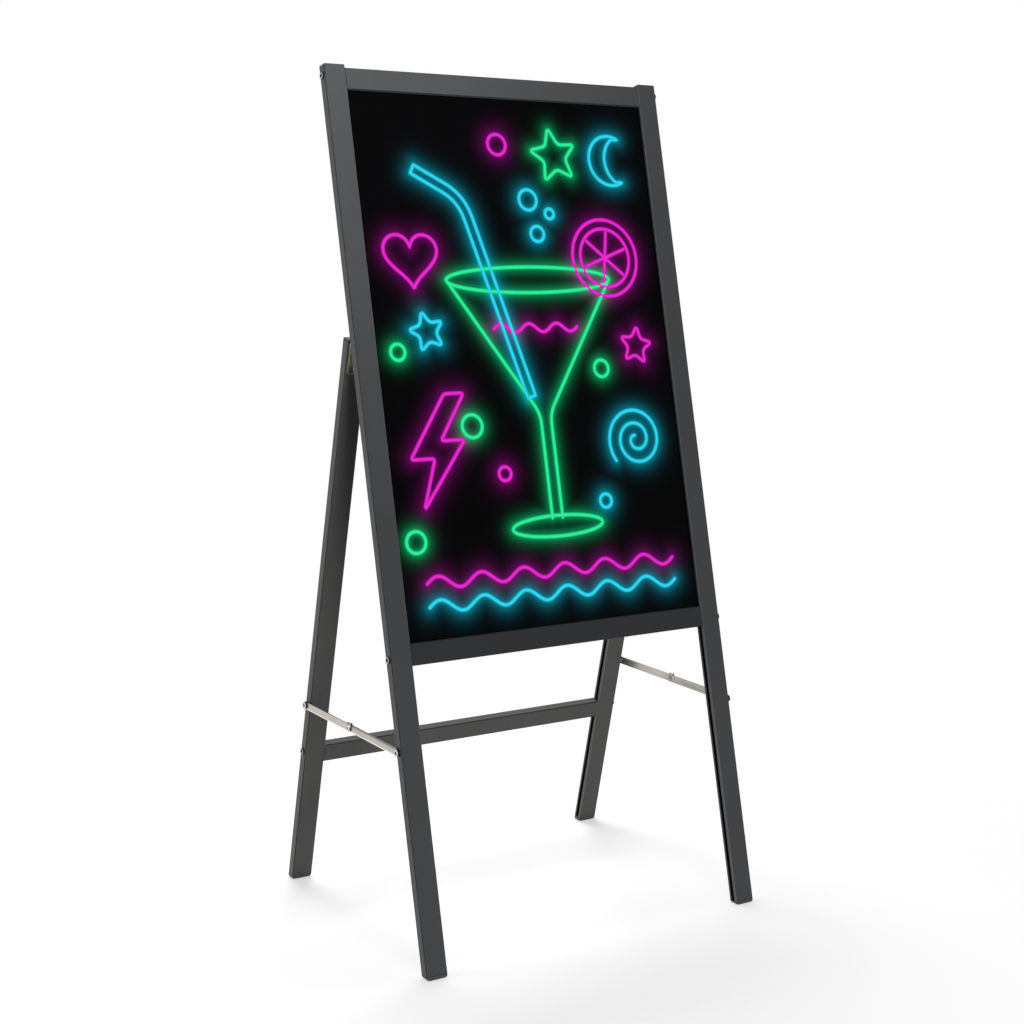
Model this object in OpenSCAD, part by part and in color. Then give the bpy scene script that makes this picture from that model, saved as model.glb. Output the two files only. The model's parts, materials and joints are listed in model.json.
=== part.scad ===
// Folding A-frame stand that carries an edge-lit writing board.
// Millimetres. +Z is up, the board faces -Y, and the origin is on the floor under the middle.
// Pieces of a leg are drawn at the right-hand leg and mirrored for the left one.

/* [Stand] */
// Width across the outer faces of the legs
stand_w = 450; // [380:1:600]
// Length of a front leg along its slope, with its cap and foot
front_leg_len = 996; // [900:1:1200]
// Backward lean of the front frame in degrees
front_lean = 14.9; // [11:0.1:18]
// Forward lean of the rear frame in degrees
rear_lean = 11.6; // [9:0.1:15]
// Distance up the front leg from its foot to the hinge pins
hinge_up = 688; // [640:1:760]
// How far the front legs stand above the top rail
rail_drop = 3.2; // [0:0.1:12]
// Distance up the front leg to the lower edge of the bottom rail
rail_up = 334; // [300:1:380]

/* [Extrusions] */
// Width of a leg's front face
leg_face = 26; // [24:0.5:36]
// Depth of a leg and of a rail from front to rear
leg_depth = 12; // [11:0.5:16]
// Height of a rail's front face
rail_face = 24.5; // [23:0.5:36]
// Wall of every extrusion
wall = 1.4; // [1:0.1:2]
// Outer corner radius of every extrusion
corner_r = 1.6; // [0.8:0.1:2.4]
// Depth of the front lip, from the front face to the slot
slot_front = 3.4; // [2.5:0.1:5]
// Outer diameter of the screw port in a rail or crossbar
port_d = 7.2; // [6.4:0.1:8]
// Distance from a rail's outer edge to its screw port
port_in = 9.5; // [8:0.5:10]
// Distance from a rail's front face to its screw port
port_deep = 5.4; // [5:0.1:6.6]

/* [Board] */
// Thickness of the acrylic writing panel
panel_t = 4; // [3:0.1:4.5]
// Thickness of the black sheet behind it
backing_t = 1; // [0.5:0.1:1.2]
// Depth that the panel's edges reach into the slots
panel_in = 6; // [4:0.5:6.5]
// Free play of panel and backing in the slot
panel_play = 0.2; // [0.1:0.05:0.4]

/* [Lighting] */
// Thickness of the LED tape
tape_t = 0.5; // [0.3:0.1:1]
// Width of the LED tape
tape_w = 5; // [4:0.5:6]
// Height of an LED on the tape
led_h = 0.8; // [0.6:0.1:1]
// Side of an LED
led_side = 2.8; // [2:0.1:3.5]
// Distance from one LED to the next
led_pitch = 25; // [15:1:50]
// Gap between the LEDs and the panel's edge
led_gap = 1; // [0.5:0.1:1.5]
// Diameter of an LED lead
lead_d = 1.8; // [1.4:0.1:2]
// Radius of a lead's bend, at its middle
lead_bend = 3; // [2.5:0.1:4]

/* [Caps and feet] */
// Thickness of a leg's top cap
cap_t = 2.2; // [1.5:0.1:4]
// Radius of a cap's upper corners
cap_r = 1.2; // [0.5:0.1:1.8]
// Height of a foot in front, from the floor to the leg's cut end
foot_h = 5; // [5:0.5:12]
// Radius of a foot's lower corners
foot_r = 3; // [1:0.5:4]
// Length of a foot's plug inside the leg
plug_len = 14; // [8:1:25]
// Length of a cap's plug inside the leg
cap_plug_len = 7; // [4:0.5:8]
// Play of a plug in the leg's chamber
plug_play = 0.15; // [0.05:0.05:0.3]

/* [Rear frame] */
// Distance up the rear leg to the crossbar's lower edge
crossbar_up = 158; // [100:1:190]
// Height of the crossbar's front face
crossbar_face = 22; // [20:0.5:30]
// Depth of the crossbar from front to rear
crossbar_depth = 13; // [12:0.5:18]
// Height of the crossbar's screw port above its middle
port_rise = 4; // [0:0.5:4.5]
// Height of the rear leg's end above the hinge pin, with its cap
rear_top = 4.5; // [2.5:0.5:6]

/* [Hinges] */
// Width of a hinge along its pin
hinge_w = 20; // [16:0.5:22]
// Length of a hinge leaf below the pin
leaf_len = 34; // [30:1:60]
// Thickness of a hinge leaf
leaf_t = 1.2; // [1:0.1:1.6]
// Radius of a leaf's lower corners
leaf_r = 2; // [1:0.5:4]
// Diameter of a hinge pin
pin_d = 3; // [2.5:0.1:4]
// Radial play of the rear knuckles on the pin
pin_play = 0.05; // [0.02:0.01:0.1]
// Radial play of the front knuckle on the pin that it holds
pin_seat = 0.02; // [0.01:0.01:0.05]
// Length of the middle knuckle along the pin
knuckle_mid = 7; // [5:0.5:9]
// End gap between knuckles
knuckle_gap = 0.3; // [0.2:0.05:0.6]
// Clearance between a knuckle and the leg that it turns past
hinge_clear = 0.3; // [0.2:0.05:0.6]
// Height of a pin's end buttons
pin_button_h = 0.7; // [0.5:0.1:1]
// Distance below the pin to a leaf's upper screw
leaf_screw_high = 12; // [10:0.5:16]
// Distance below the pin to a leaf's lower screw
leaf_screw_low = 27.5; // [22:0.5:28]
// Shank diameter of a leaf screw
leaf_screw_d = 3; // [2.5:0.1:4]
// Head diameter of a leaf screw
leaf_head_d = 7.4; // [6:0.1:8]
// Head height of a leaf screw
leaf_head_h = 1.4; // [1:0.1:1.6]
// Length of a leaf screw's shank in the leg
leaf_screw_len = 6; // [4:0.5:8]

/* [Stays] */
// Distance from the hinge pin down the front leg to its stay bolt
front_stay_drop = 444; // [380:0.5:470]
// How much nearer to the hinge pin the rear leg's stay bolt is
rear_stay_rise = 3; // [0:0.5:4]
// Width of a stay link
stay_width = 9; // [8:0.5:9.5]
// Thickness of a stay link
stay_t = 1; // [0.8:0.1:2]
// Gap between the front and rear link where they cross
stay_gap = 0.2; // [0.15:0.05:0.6]
// Gap between the front link and the legs' outer faces
stay_off = 0.7; // [0.7:0.1:2]
// End play of a link between its neighbours on a bolt
stay_play = 0.1; // [0.05:0.05:0.2]
// Diameter of a stay bolt and of the centre rivet
stay_bolt_d = 4; // [3:0.1:5]
// Radial play of a link on its bolt
stay_bolt_play = 0.06; // [0.02:0.01:0.1]
// Head diameter of a stay bolt
stay_head_d = 8.4; // [7:0.1:9]
// Head height of a stay bolt
stay_head_h = 2.2; // [1.8:0.1:3.5]
// Head diameter of the centre rivet
rivet_head_d = 6.6; // [5.5:0.1:8]
// Head height of the centre rivet
rivet_head_h = 1.2; // [0.8:0.1:2]
// Height of the rivet's tail on the inner side
rivet_tail_h = 0.5; // [0.3:0.1:0.5]
// Outer diameter of a rivet nut's barrel in the leg's wall
nut_d = 6; // [5.6:0.1:7]
// Diameter of a rivet nut's flange
nut_flange_d = 8; // [7.5:0.1:10]
// Length of a rivet nut inside the leg's outer face
nut_len = 9; // [6:0.5:11]
// Length of the stop tab along the link
tab_len = 3; // [2:0.5:5]
// Distance of the stop tab past the centre rivet
tab_past = 3.5; // [2.5:0.5:5]
// Thickness of the stop tab
tab_t = 1.4; // [1:0.1:2]
// Gap between the stop tab and the front link's edge
tab_gap = 0.3; // [0.1:0.1:0.5]

/* [Screws] */
// Shank diameter of a rail or crossbar screw
screw_d = 4; // [3:0.1:4.2]
// Head diameter of a rail or crossbar screw
screw_head_d = 8; // [6:0.1:8.2]
// Head height of a rail or crossbar screw
screw_head_h = 2.2; // [1.8:0.1:2.6]
// Length of the screw inside its port
screw_grip = 14; // [8:1:25]
// Radial play of a screw in its hole
screw_play = 0.05; // [0.02:0.01:0.1]
// Width across the flats of a head's hex socket
socket_w = 3; // [2:0.1:3]
// Depth of a head's hex socket
socket_depth = 1.1; // [0.5:0.1:1.1]
// Rise of a socket head's crown above its upright wall
head_crown = 0.5; // [0.3:0.1:0.8]

/* [Control box] */
// Distance from the bottom rail's right end to the control box's middle
control_in = 99; // [60:1:150]
// Width of the control box
control_w = 64; // [58:1:80]
// Height of the control box
control_h = 22; // [21:0.5:23]
// Depth of the housing behind its base
control_d = 15; // [14:0.5:20]
// Wall of the housing
control_wall = 1.6; // [1.2:0.1:2]
// Outer corner radius of the housing
control_r = 3; // [2:0.5:4]
// Thickness of the base plate
base_t = 1.6; // [1.2:0.1:2.5]
// Length of the base's ear at each end
ear_len = 9; // [8:0.5:12]
// Length of a control screw inside the rail's rear face
control_grip = 4; // [2:0.5:4]
// Thickness of the circuit board
board_t = 1.2; // [1:0.1:1.6]
// Height of the board's pillars on the base
pillar_h = 2.5; // [2:0.1:4]
// Diameter of the board's pillars
pillar_d = 4; // [3:0.1:5]
// Play between the board and the housing
board_play = 0.6; // [0.3:0.1:1]
// Side of the power inlet's body
inlet_side = 9; // [9:0.1:9.5]
// Length of the power inlet's body
inlet_len = 13; // [11:0.5:16]
// Bore of the power inlet
inlet_bore_d = 6.4; // [5.5:0.1:6.6]
// Diameter of the inlet's centre pin
inlet_pin_d = 2; // [1.3:0.1:2.5]
// Depth of the inlet's bore
inlet_depth = 9.5; // [8:0.5:10]
// Outer diameter of the inlet's nose in the housing's end wall
inlet_nose_d = 8; // [7.6:0.1:8.4]
// Diameter of the mode button
button_d = 8; // [6:0.1:9]
// Height of the mode button above the housing
button_proud = 1.6; // [1.2:0.1:2.5]
// Travel of the mode button
button_travel = 1; // [0.5:0.1:1.1]
// Radial gap around the mode button
button_gap = 0.3; // [0.2:0.05:0.5]
// Width of the flange that keeps the button in
button_flange = 1.4; // [1:0.1:2]
// Diameter of the button's stem
stem_d = 3; // [2:0.1:3.4]
// Side of the key switch under the button
switch_side = 6; // [5.5:0.1:7]
// Height of the key switch
switch_h = 3.5; // [3.2:0.1:4]

/* [Hidden] */
$fn = 48;
// Overshoot of a cutting shape past the face that it opens
cut = 0.5;

// Channel and chamber of a leg
slot_w = panel_t + backing_t + panel_play;
channel_d = panel_in + led_gap + led_h + tape_t;
chamber_x = channel_d + wall;
chamber_w = leg_face - chamber_x - wall;
inner_depth = leg_depth - 2 * wall;
mid_depth = leg_depth / 2;

// Rails and the opening between them
rail_len = stand_w - 2 * leg_face;
top_rail_up = front_leg_len - rail_drop - rail_face;
rail_ports = [rail_up + port_in, top_rail_up + rail_face - port_in];
open_low = rail_up + rail_face;
open_high = top_rail_up;

// Board
panel_w = rail_len + 2 * panel_in;
panel_low = open_low - panel_in;
panel_high = open_high + panel_in;
panel_y = slot_front + panel_play / 2;

// Leads run between the bottom rail's screw port and the panel's lower edge
lead_up = (rail_ports[0] + port_d / 2 + panel_low) / 2;
tape_low = lead_up - lead_d;
tape_high = panel_high - panel_in;

// Hinge
knuckle_r = pin_d / 2 + pin_play + leaf_t;
pin_off = knuckle_r + hinge_clear;
leaf_screw_drops = [leaf_screw_high, leaf_screw_low];
mid_knuckle = [[-knuckle_mid / 2, knuckle_mid / 2]];
end_knuckles = [for (s = [-1, 1])
    s < 0 ? [-hinge_w / 2, -knuckle_mid / 2 - knuckle_gap] : [knuckle_mid / 2 + knuckle_gap, hinge_w / 2]];

// The two frames meet at the hinge pin, and both stand on the floor
pin_run = hinge_up * sin(front_lean) + (leg_depth + pin_off) * cos(front_lean);
pin_z = hinge_up * cos(front_lean) - (leg_depth + pin_off) * sin(front_lean);
rear_up = (pin_z + pin_off * sin(rear_lean)) / cos(rear_lean);
rear_run = pin_run + rear_up * sin(rear_lean) + pin_off * cos(rear_lean);
// How much a foot's round corner takes off its outermost edge
function toe_cut(lean) = foot_r * (1 / tan((90 - lean) / 2) - 1);
stand_depth = rear_run + leg_depth / cos(rear_lean) - toe_cut(front_lean) - toe_cut(rear_lean);
front_y = -stand_depth / 2 - toe_cut(front_lean);
rear_y = front_y + rear_run;
rear_leg_end = rear_up + rear_top - cap_t;
crossbar_port = crossbar_up + crossbar_face / 2 + port_rise;

// Stay bolts as [y, z], and the straight stay between them
front_pivot_up = hinge_up - front_stay_drop;
rear_pivot_up = rear_up - front_stay_drop + rear_stay_rise;
front_pivot = [front_y + front_pivot_up * sin(front_lean) + mid_depth * cos(front_lean),
               front_pivot_up * cos(front_lean) - mid_depth * sin(front_lean)];
rear_pivot = [rear_y - rear_pivot_up * sin(rear_lean) + mid_depth * cos(rear_lean),
              rear_pivot_up * cos(rear_lean) + mid_depth * sin(rear_lean)];
stay_span = rear_pivot - front_pivot;
stay_tilt = atan2(stay_span[1], stay_span[0]);
// The links' lengths differ by the bolts' difference, so that both lie along the folded legs
front_link_len = (norm(stay_span) + rear_stay_rise) / 2;
rear_link_len = (norm(stay_span) - rear_stay_rise) / 2;
// Distances outward from the legs' outer faces
front_link_x = stay_off;
rear_link_x = stay_off + stay_t + stay_gap;
nut_flange_t = stay_off - stay_play;

// Control box, with heights measured from the rail's rear face
control_x = rail_len / 2 - control_in;
control_up = rail_up + rail_face / 2;
base_y = leg_depth;
housing_y = base_y + base_t;
board_y = housing_y + pillar_h;
board_rear = board_y + board_t;
housing_inner = housing_y + control_d - control_wall;
board_w = control_w - 2 * (control_wall + board_play);
board_h = control_h - 2 * (control_wall + board_play);
lead_x = 2 * lead_d;
inlet_x = control_w / 2 - inlet_len;
inlet_y = board_rear + inlet_side / 2;
button_x = -control_w / 5;
flange_t = 1.2;
flange_top = housing_inner - button_gap;
switch_floor = 1;
stem_end = board_rear + switch_h - (switch_h - switch_floor - button_travel) / 2;
pillar_x = board_w / 2 - pillar_d;

frame_grey = [0.27, 0.27, 0.275];
fastener_grey = [0.12, 0.12, 0.125];
zinc = [0.78, 0.77, 0.74];
plastic_black = [0.06, 0.06, 0.065];

// Places: inside a frame X runs across, Y from front to rear and Z up the leg

module front_place() {
    translate([0, front_y, 0]) rotate([-front_lean, 0, 0]) children();
}

module rear_place() {
    translate([0, rear_y, 0]) rotate([rear_lean, 0, 0]) children();
}

module left() {
    mirror([1, 0, 0]) children();
}

module both() {
    children();
    left() children();
}

// The right-hand leg's inner face is x = 0 and its outer face x = leg_face
module at_leg() {
    translate([stand_w / 2 - leg_face, 0, 0]) children();
}

// A stay's front bolt is y = 0 on the right-hand leg's outer face, and Y runs along the stay
module stay_place() {
    translate([stand_w / 2, front_pivot[0], front_pivot[1]]) rotate([stay_tilt, 0, 0]) children();
}

// Turns a shape that is extruded along Z so that it runs along X, with its own X along Y
module along_x() {
    rotate([90, 0, 90]) children();
}

// Turns a shape that is extruded along Z so that it runs rearward, with its own Y up
module along_y(depth) {
    translate([0, depth, 0]) rotate([90, 0, 0]) linear_extrude(depth) children();
}

// Sections

module rounded_rect(size, r) {
    translate([r, 0]) square([size[0] - 2 * r, size[1]]);
    translate([0, r]) square([size[0], size[1] - 2 * r]);
    for (x = [r, size[0] - r], y = [r, size[1] - r])
        translate([x, y]) circle(r);
}

module leg_section() {
    difference() {
        rounded_rect([leg_face, leg_depth], corner_r);
        translate([wall, wall]) square([channel_d - wall, inner_depth]);
        translate([-cut, slot_front]) square([wall + 2 * cut, slot_w]);
        translate([chamber_x, wall]) square([chamber_w, inner_depth]);
    }
}

// A hollow bar with a screw port on ribs, drawn with its height along X and its depth along Y
module port_section(face, depth, port_at, port_y) {
    difference() {
        rounded_rect([face, depth], corner_r);
        translate([wall, wall]) square([face - 2 * wall, depth - 2 * wall]);
    }
    difference() {
        union() {
            translate([port_at, port_y]) circle(d = port_d);
            translate([port_at - wall / 2, wall / 2]) square([wall, depth - wall]);
        }
        translate([port_at, port_y]) circle(d = screw_d + 2 * screw_play);
    }
}

// The rail's slot side is at x = rail_face
module rail_section() {
    difference() {
        port_section(rail_face, leg_depth, port_in, port_deep);
        translate([rail_face - wall - cut, slot_front]) square([wall + 2 * cut, slot_w]);
    }
}

// Extrudes a bar's section across the stand, with the section's X going up
module across(len) {
    translate([-len / 2, 0, 0]) rotate([0, -90, 0]) mirror([0, 0, 1]) linear_extrude(len) children();
}

// Shared details

module dome(d, h) {
    r = (d * d / 4 + h * h) / (2 * h);
    intersection() {
        translate([0, 0, h - r]) sphere(r);
        cylinder(d = d, h = h);
    }
}

// A head that stands on z = 0, with an upright wall, a crown and a hex socket
module socket_head(d, h) {
    difference() {
        union() {
            cylinder(d = d, h = h - head_crown);
            translate([0, 0, h - head_crown]) dome(d, head_crown);
        }
        translate([0, 0, h - socket_depth])
            cylinder(d = socket_w / cos(30), h = socket_depth + cut, $fn = 6);
    }
}

// Bore along X at height up and depth y
module side_bore(d, up, y, x0, x1) {
    translate([x0, y, up]) rotate([0, 90, 0]) cylinder(d = d, h = x1 - x0);
}

// A rail or crossbar screw, its head on the leg's outer face
module long_screw(up, y) {
    translate([leg_face, y, up]) rotate([0, 90, 0]) {
        socket_head(screw_head_d, screw_head_h);
        translate([0, 0, -leg_face - screw_grip]) cylinder(d = screw_d, h = leg_face + screw_grip);
    }
}

// Leaf screw spots on the leg face that carries a hinge leaf
module leaf_screw_spots(up) {
    for (drop = leaf_screw_drops) translate([leg_face / 2, 0, up - drop]) children();
}

module plug() {
    translate([chamber_x + plug_play, wall + plug_play])
        square([chamber_w - 2 * plug_play, inner_depth - 2 * plug_play]);
}

// Front frame

module front_leg() {
    difference() {
        translate([0, 0, foot_h]) linear_extrude(front_leg_len - foot_h - cap_t) leg_section();
        for (up = rail_ports)
            side_bore(screw_d + 2 * screw_play, up, port_deep, channel_d - cut, leg_face + cut);
        side_bore(nut_d + 2 * screw_play, front_pivot_up, mid_depth, leg_face - wall - cut, leg_face + cut);
        leaf_screw_spots(hinge_up)
            along_y_bore(leaf_screw_d + 2 * screw_play, leg_depth - wall - cut, leg_depth + cut);
    }
}

// Bore along Y from y0 to y1
module along_y_bore(d, y0, y1) {
    translate([0, y1, 0]) rotate([90, 0, 0]) cylinder(d = d, h = y1 - y0);
}

module left_front_leg() {
    color(frame_grey) front_place() left() at_leg() front_leg();
}

module right_front_leg() {
    color(frame_grey) front_place() at_leg() front_leg();
}

module top_rail() {
    color(frame_grey) front_place()
        translate([0, 0, top_rail_up + rail_face]) mirror([0, 0, 1]) across(rail_len) rail_section();
}

module bottom_rail() {
    color(frame_grey) front_place() difference() {
        translate([0, 0, rail_up]) across(rail_len) rail_section();
        for (s = [-1, 1])
            translate([control_x + s * lead_x, 0, lead_up])
                along_y_bore(lead_d + 2 * screw_play, leg_depth - wall - cut, leg_depth + cut);
        control_screw_spots()
            along_y_bore(leaf_screw_d + 2 * screw_play, leg_depth - wall - cut, leg_depth + cut);
    }
}

module sheet(y, t) {
    translate([-panel_w / 2, y, panel_low]) cube([panel_w, t, panel_high - panel_low]);
}

module writing_panel() {
    color([0.03, 0.03, 0.035]) front_place() sheet(panel_y, panel_t);
}

module backing_sheet() {
    color([0.01, 0.01, 0.012]) front_place() sheet(panel_y + panel_t, backing_t);
}

module led_strip() {
    translate([channel_d - tape_t, mid_depth - tape_w / 2, tape_low])
        cube([tape_t, tape_w, tape_high - tape_low]);
    for (up = [open_low + led_pitch / 2 : led_pitch : open_high - led_side])
        translate([channel_d - tape_t - led_h, mid_depth - led_side / 2, up])
            cube([led_h, led_side, led_side]);
}

// The leg's x runs outward, so the strip sits between the panel's edge and the leg's web
module left_led_strip() {
    color([0.9, 0.9, 0.86]) front_place() left() at_leg() led_strip();
}

module right_led_strip() {
    color([0.9, 0.9, 0.86]) front_place() at_leg() led_strip();
}

// A lead from the circuit board, through the rail's rear wall and along the rail to the LED tape
module led_lead(start_x) {
    end_x = stand_w / 2 - leg_face + channel_d - tape_t;
    translate([start_x, board_y, lead_up]) rotate([90, 0, 0])
        cylinder(d = lead_d, h = board_y - mid_depth - lead_bend);
    translate([start_x + lead_bend, mid_depth + lead_bend, lead_up]) rotate([0, 0, 180])
        rotate_extrude(angle = 90) translate([lead_bend, 0]) circle(d = lead_d);
    translate([start_x + lead_bend, mid_depth, lead_up]) rotate([0, 90, 0])
        cylinder(d = lead_d, h = end_x - start_x - lead_bend);
}

module left_led_lead() {
    color([0.75, 0.1, 0.1]) front_place() left() led_lead(lead_x - control_x);
}

module right_led_lead() {
    color([0.75, 0.1, 0.1]) front_place() led_lead(control_x + lead_x);
}

module top_cap_outline() {
    translate([0, -cap_t]) square([leg_face, 2 * cap_t - cap_r]);
    translate([cap_r, 0]) square([leg_face - 2 * cap_r, cap_t]);
    for (x = [cap_r, leg_face - cap_r]) translate([x, cap_t - cap_r]) circle(cap_r);
}

// A cap that stands on a leg's cut end at z = 0, with its plug below
module leg_cap() {
    intersection() {
        linear_extrude(cap_t) rounded_rect([leg_face, leg_depth], corner_r);
        along_y(leg_depth) top_cap_outline();
    }
    translate([0, 0, -cap_plug_len]) linear_extrude(cap_plug_len) plug();
}

module left_top_cap() {
    color(frame_grey) front_place() left() at_leg() translate([0, 0, front_leg_len - cap_t]) leg_cap();
}

module right_top_cap() {
    color(frame_grey) front_place() at_leg() translate([0, 0, front_leg_len - cap_t]) leg_cap();
}

// Front view of a foot above the floor, with round lower corners
module foot_outline() {
    inner = stand_w / 2 - leg_face;
    high = 2 * foot_h + leg_depth;
    translate([inner, foot_r]) square([leg_face, high - foot_r]);
    translate([inner + foot_r, 0]) square([leg_face - 2 * foot_r, high]);
    for (x = [inner + foot_r, inner + leg_face - foot_r]) translate([x, foot_r]) circle(foot_r);
}

// Side view of a foot above the floor: the leaning leg's depth, with round lower corners
module foot_side(lean) {
    high = foot_h + leg_depth;
    front = foot_r * (1 - sin(lean)) / cos(lean);
    rear = (leg_depth - foot_r * (1 + sin(lean))) / cos(lean);
    out = foot_r * [cos(lean), sin(lean)];
    polygon([
        [front, 0], [rear, 0], [rear, foot_r] + out,
        [leg_depth * cos(lean) - high * sin(lean), leg_depth * sin(lean) + high * cos(lean)],
        [-high * sin(lean), high * cos(lean)], [front, foot_r] - out,
    ]);
    for (y = [front, rear]) translate([y, foot_r]) circle(foot_r);
}

// The right-hand foot of a frame: a wedge that is flat on the floor and plugs into the leg
module foot(lean) {
    intersection() {
        rotate([lean, 0, 0]) at_leg() translate([0, 0, -leg_depth])
            linear_extrude(foot_h + leg_depth) rounded_rect([leg_face, leg_depth], corner_r);
        translate([0, -leg_depth, 0]) along_y(4 * leg_depth) foot_outline();
        at_leg() along_x() linear_extrude(leg_face) foot_side(lean);
    }
    rotate([lean, 0, 0]) at_leg() translate([0, 0, foot_h]) linear_extrude(plug_len) plug();
}

module left_front_foot() {
    color(plastic_black) translate([0, front_y, 0]) left() foot(-front_lean);
}

module right_front_foot() {
    color(plastic_black) translate([0, front_y, 0]) foot(-front_lean);
}

module rail_screws() {
    color(fastener_grey) front_place() both() at_leg() for (up = rail_ports) long_screw(up, port_deep);
}

// Control box on the bottom rail's rear face

module control_place() {
    front_place() translate([control_x, 0, control_up]) children();
}

module control_screw_spots() {
    for (s = [-1, 1])
        translate([control_x + s * (control_w / 2 + ear_len / 2), 0, lead_up]) children();
}

module centred_rect(size, r) {
    translate([-size[0] / 2, -size[1] / 2]) rounded_rect(size, r);
}

module control_base() {
    color(plastic_black) difference() {
        control_place() {
            translate([0, base_y, 0]) along_y(base_t)
                centred_rect([control_w + 2 * ear_len, control_h], control_r);
            for (s = [-1, 1])
                translate([s * pillar_x, board_y, 0]) rotate([90, 0, 0])
                    cylinder(d = pillar_d, h = pillar_h + cut);
        }
        front_place() control_screw_spots()
            along_y_bore(leaf_screw_d + 2 * screw_play, base_y - cut, housing_y + cut);
        control_place() for (s = [-1, 1])
            translate([s * lead_x, 0, lead_up - control_up])
                along_y_bore(lead_d + 2 * screw_play, base_y - cut, housing_y + cut);
    }
}

module control_housing() {
    inside = [control_w - 2 * control_wall, control_h - 2 * control_wall];
    color(plastic_black) control_place() difference() {
        translate([0, housing_y, 0]) along_y(control_d) centred_rect([control_w, control_h], control_r);
        translate([0, housing_y - cut, 0]) along_y(control_d - control_wall + cut)
            centred_rect(inside, control_r - control_wall / 2);
        translate([control_w / 2 - control_wall - cut, inlet_y, 0]) rotate([0, 90, 0])
            cylinder(d = inlet_nose_d + 2 * button_gap, h = control_wall + 2 * cut);
        translate([button_x, 0, 0])
            along_y_bore(button_d + 2 * button_gap, housing_inner - cut, housing_y + control_d + cut);
    }
}

module control_board() {
    chip = [board_w / 5, board_t, board_h / 2];
    color([0.05, 0.3, 0.15]) control_place() {
        translate([-board_w / 2, board_y, -board_h / 2]) cube([board_w, board_t, board_h]);
        translate([-chip[0] / 2, board_rear, -chip[2] / 2]) cube(chip);
    }
}

module key_switch() {
    color([0.2, 0.2, 0.21]) control_place() difference() {
        translate([button_x - switch_side / 2, board_rear, -switch_side / 2])
            cube([switch_side, switch_h, switch_side]);
        translate([button_x, 0, 0])
            along_y_bore(stem_d + 2 * button_gap, board_rear + switch_floor, board_rear + switch_h + cut);
    }
}

module power_inlet() {
    color(plastic_black) control_place() translate([inlet_x, inlet_y, 0]) {
        difference() {
            union() {
                translate([0, -inlet_side / 2, -inlet_side / 2])
                    cube([inlet_len - control_wall - button_gap, inlet_side, inlet_side]);
                rotate([0, 90, 0]) cylinder(d = inlet_nose_d, h = inlet_len);
            }
            translate([inlet_len - inlet_depth, 0, 0]) rotate([0, 90, 0])
                cylinder(d = inlet_bore_d, h = inlet_depth + cut);
        }
        translate([inlet_len - inlet_depth - cut, 0, 0]) rotate([0, 90, 0])
            cylinder(d = inlet_pin_d, h = inlet_depth);
    }
}

module control_screws() {
    color(fastener_grey) front_place() control_screw_spots() translate([0, housing_y, 0]) {
        rotate([-90, 0, 0]) dome(leaf_head_d, leaf_head_h);
        rotate([90, 0, 0]) cylinder(d = leaf_screw_d, h = base_t + control_grip);
    }
}

module mode_button() {
    color([0.35, 0.35, 0.36]) control_place() translate([button_x, 0, 0]) rotate([-90, 0, 0]) {
        translate([0, 0, flange_top - cut]) cylinder(d = button_d, h = cut + housing_y + control_d
            + button_proud / 2 - flange_top);
        translate([0, 0, housing_y + control_d + button_proud / 2]) dome(button_d, button_proud / 2);
        translate([0, 0, flange_top - flange_t])
            cylinder(d = button_d + 2 * (button_gap + button_flange), h = flange_t);
        translate([0, 0, stem_end]) cylinder(d = stem_d, h = flange_top - stem_end);
    }
}

// Hinges: a leaf lies on the face y = 0, with the pin at y = pin_off and z = 0

module leaf_outline() {
    translate([-hinge_w / 2, leaf_r - leaf_len]) square([hinge_w, leaf_len - leaf_r]);
    translate([leaf_r - hinge_w / 2, -leaf_len]) square([hinge_w - 2 * leaf_r, leaf_len]);
    for (s = [-1, 1]) translate([s * (hinge_w / 2 - leaf_r), leaf_r - leaf_len]) circle(leaf_r);
}

module knuckle_relief(x0, x1) {
    high = knuckle_r + hinge_clear;
    translate([x0, -cut, -high]) cube([x1 - x0, leaf_t + 2 * cut, high + cut]);
}

module hinge_leaf(knuckles, reliefs, play) {
    difference() {
        union() {
            difference() {
                along_y(leaf_t) leaf_outline();
                for (r = reliefs) knuckle_relief(r[0], r[1]);
            }
            for (k = knuckles)
                translate([k[0], pin_off, 0]) rotate([0, 90, 0]) cylinder(r = knuckle_r, h = k[1] - k[0]);
        }
        translate([-hinge_w, pin_off, 0]) rotate([0, 90, 0])
            cylinder(d = pin_d + 2 * play, h = 2 * hinge_w);
        for (drop = leaf_screw_drops) translate([0, 0, -drop]) rotate([-90, 0, 0])
            translate([0, 0, -cut]) cylinder(d = leaf_screw_d + 2 * screw_play, h = leaf_t + 2 * cut);
    }
}

module front_leaf() {
    translate([leg_face / 2, leg_depth, hinge_up])
        hinge_leaf(mid_knuckle, [[-hinge_w, -knuckle_mid / 2], [knuckle_mid / 2, hinge_w]], pin_seat);
}

module rear_leaf() {
    half = knuckle_mid / 2 + knuckle_gap;
    translate([leg_face / 2, 0, rear_up]) mirror([0, 1, 0])
        hinge_leaf(end_knuckles, [[-half, half]], pin_play);
}

module left_hinge_front_leaf() {
    color(zinc) front_place() left() at_leg() front_leaf();
}

module right_hinge_front_leaf() {
    color(zinc) front_place() at_leg() front_leaf();
}

module left_hinge_rear_leaf() {
    color(zinc) rear_place() left() at_leg() rear_leaf();
}

module right_hinge_rear_leaf() {
    color(zinc) rear_place() at_leg() rear_leaf();
}

module hinge_pin() {
    translate([leg_face / 2, leg_depth + pin_off, hinge_up]) rotate([0, 90, 0]) {
        cylinder(d = pin_d, h = hinge_w + 2 * knuckle_gap, center = true);
        for (s = [-1, 1]) translate([0, 0, s * (hinge_w / 2 + knuckle_gap)])
            rotate([s < 0 ? 180 : 0, 0, 0]) dome(2 * knuckle_r - leaf_t, pin_button_h);
    }
}

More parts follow.
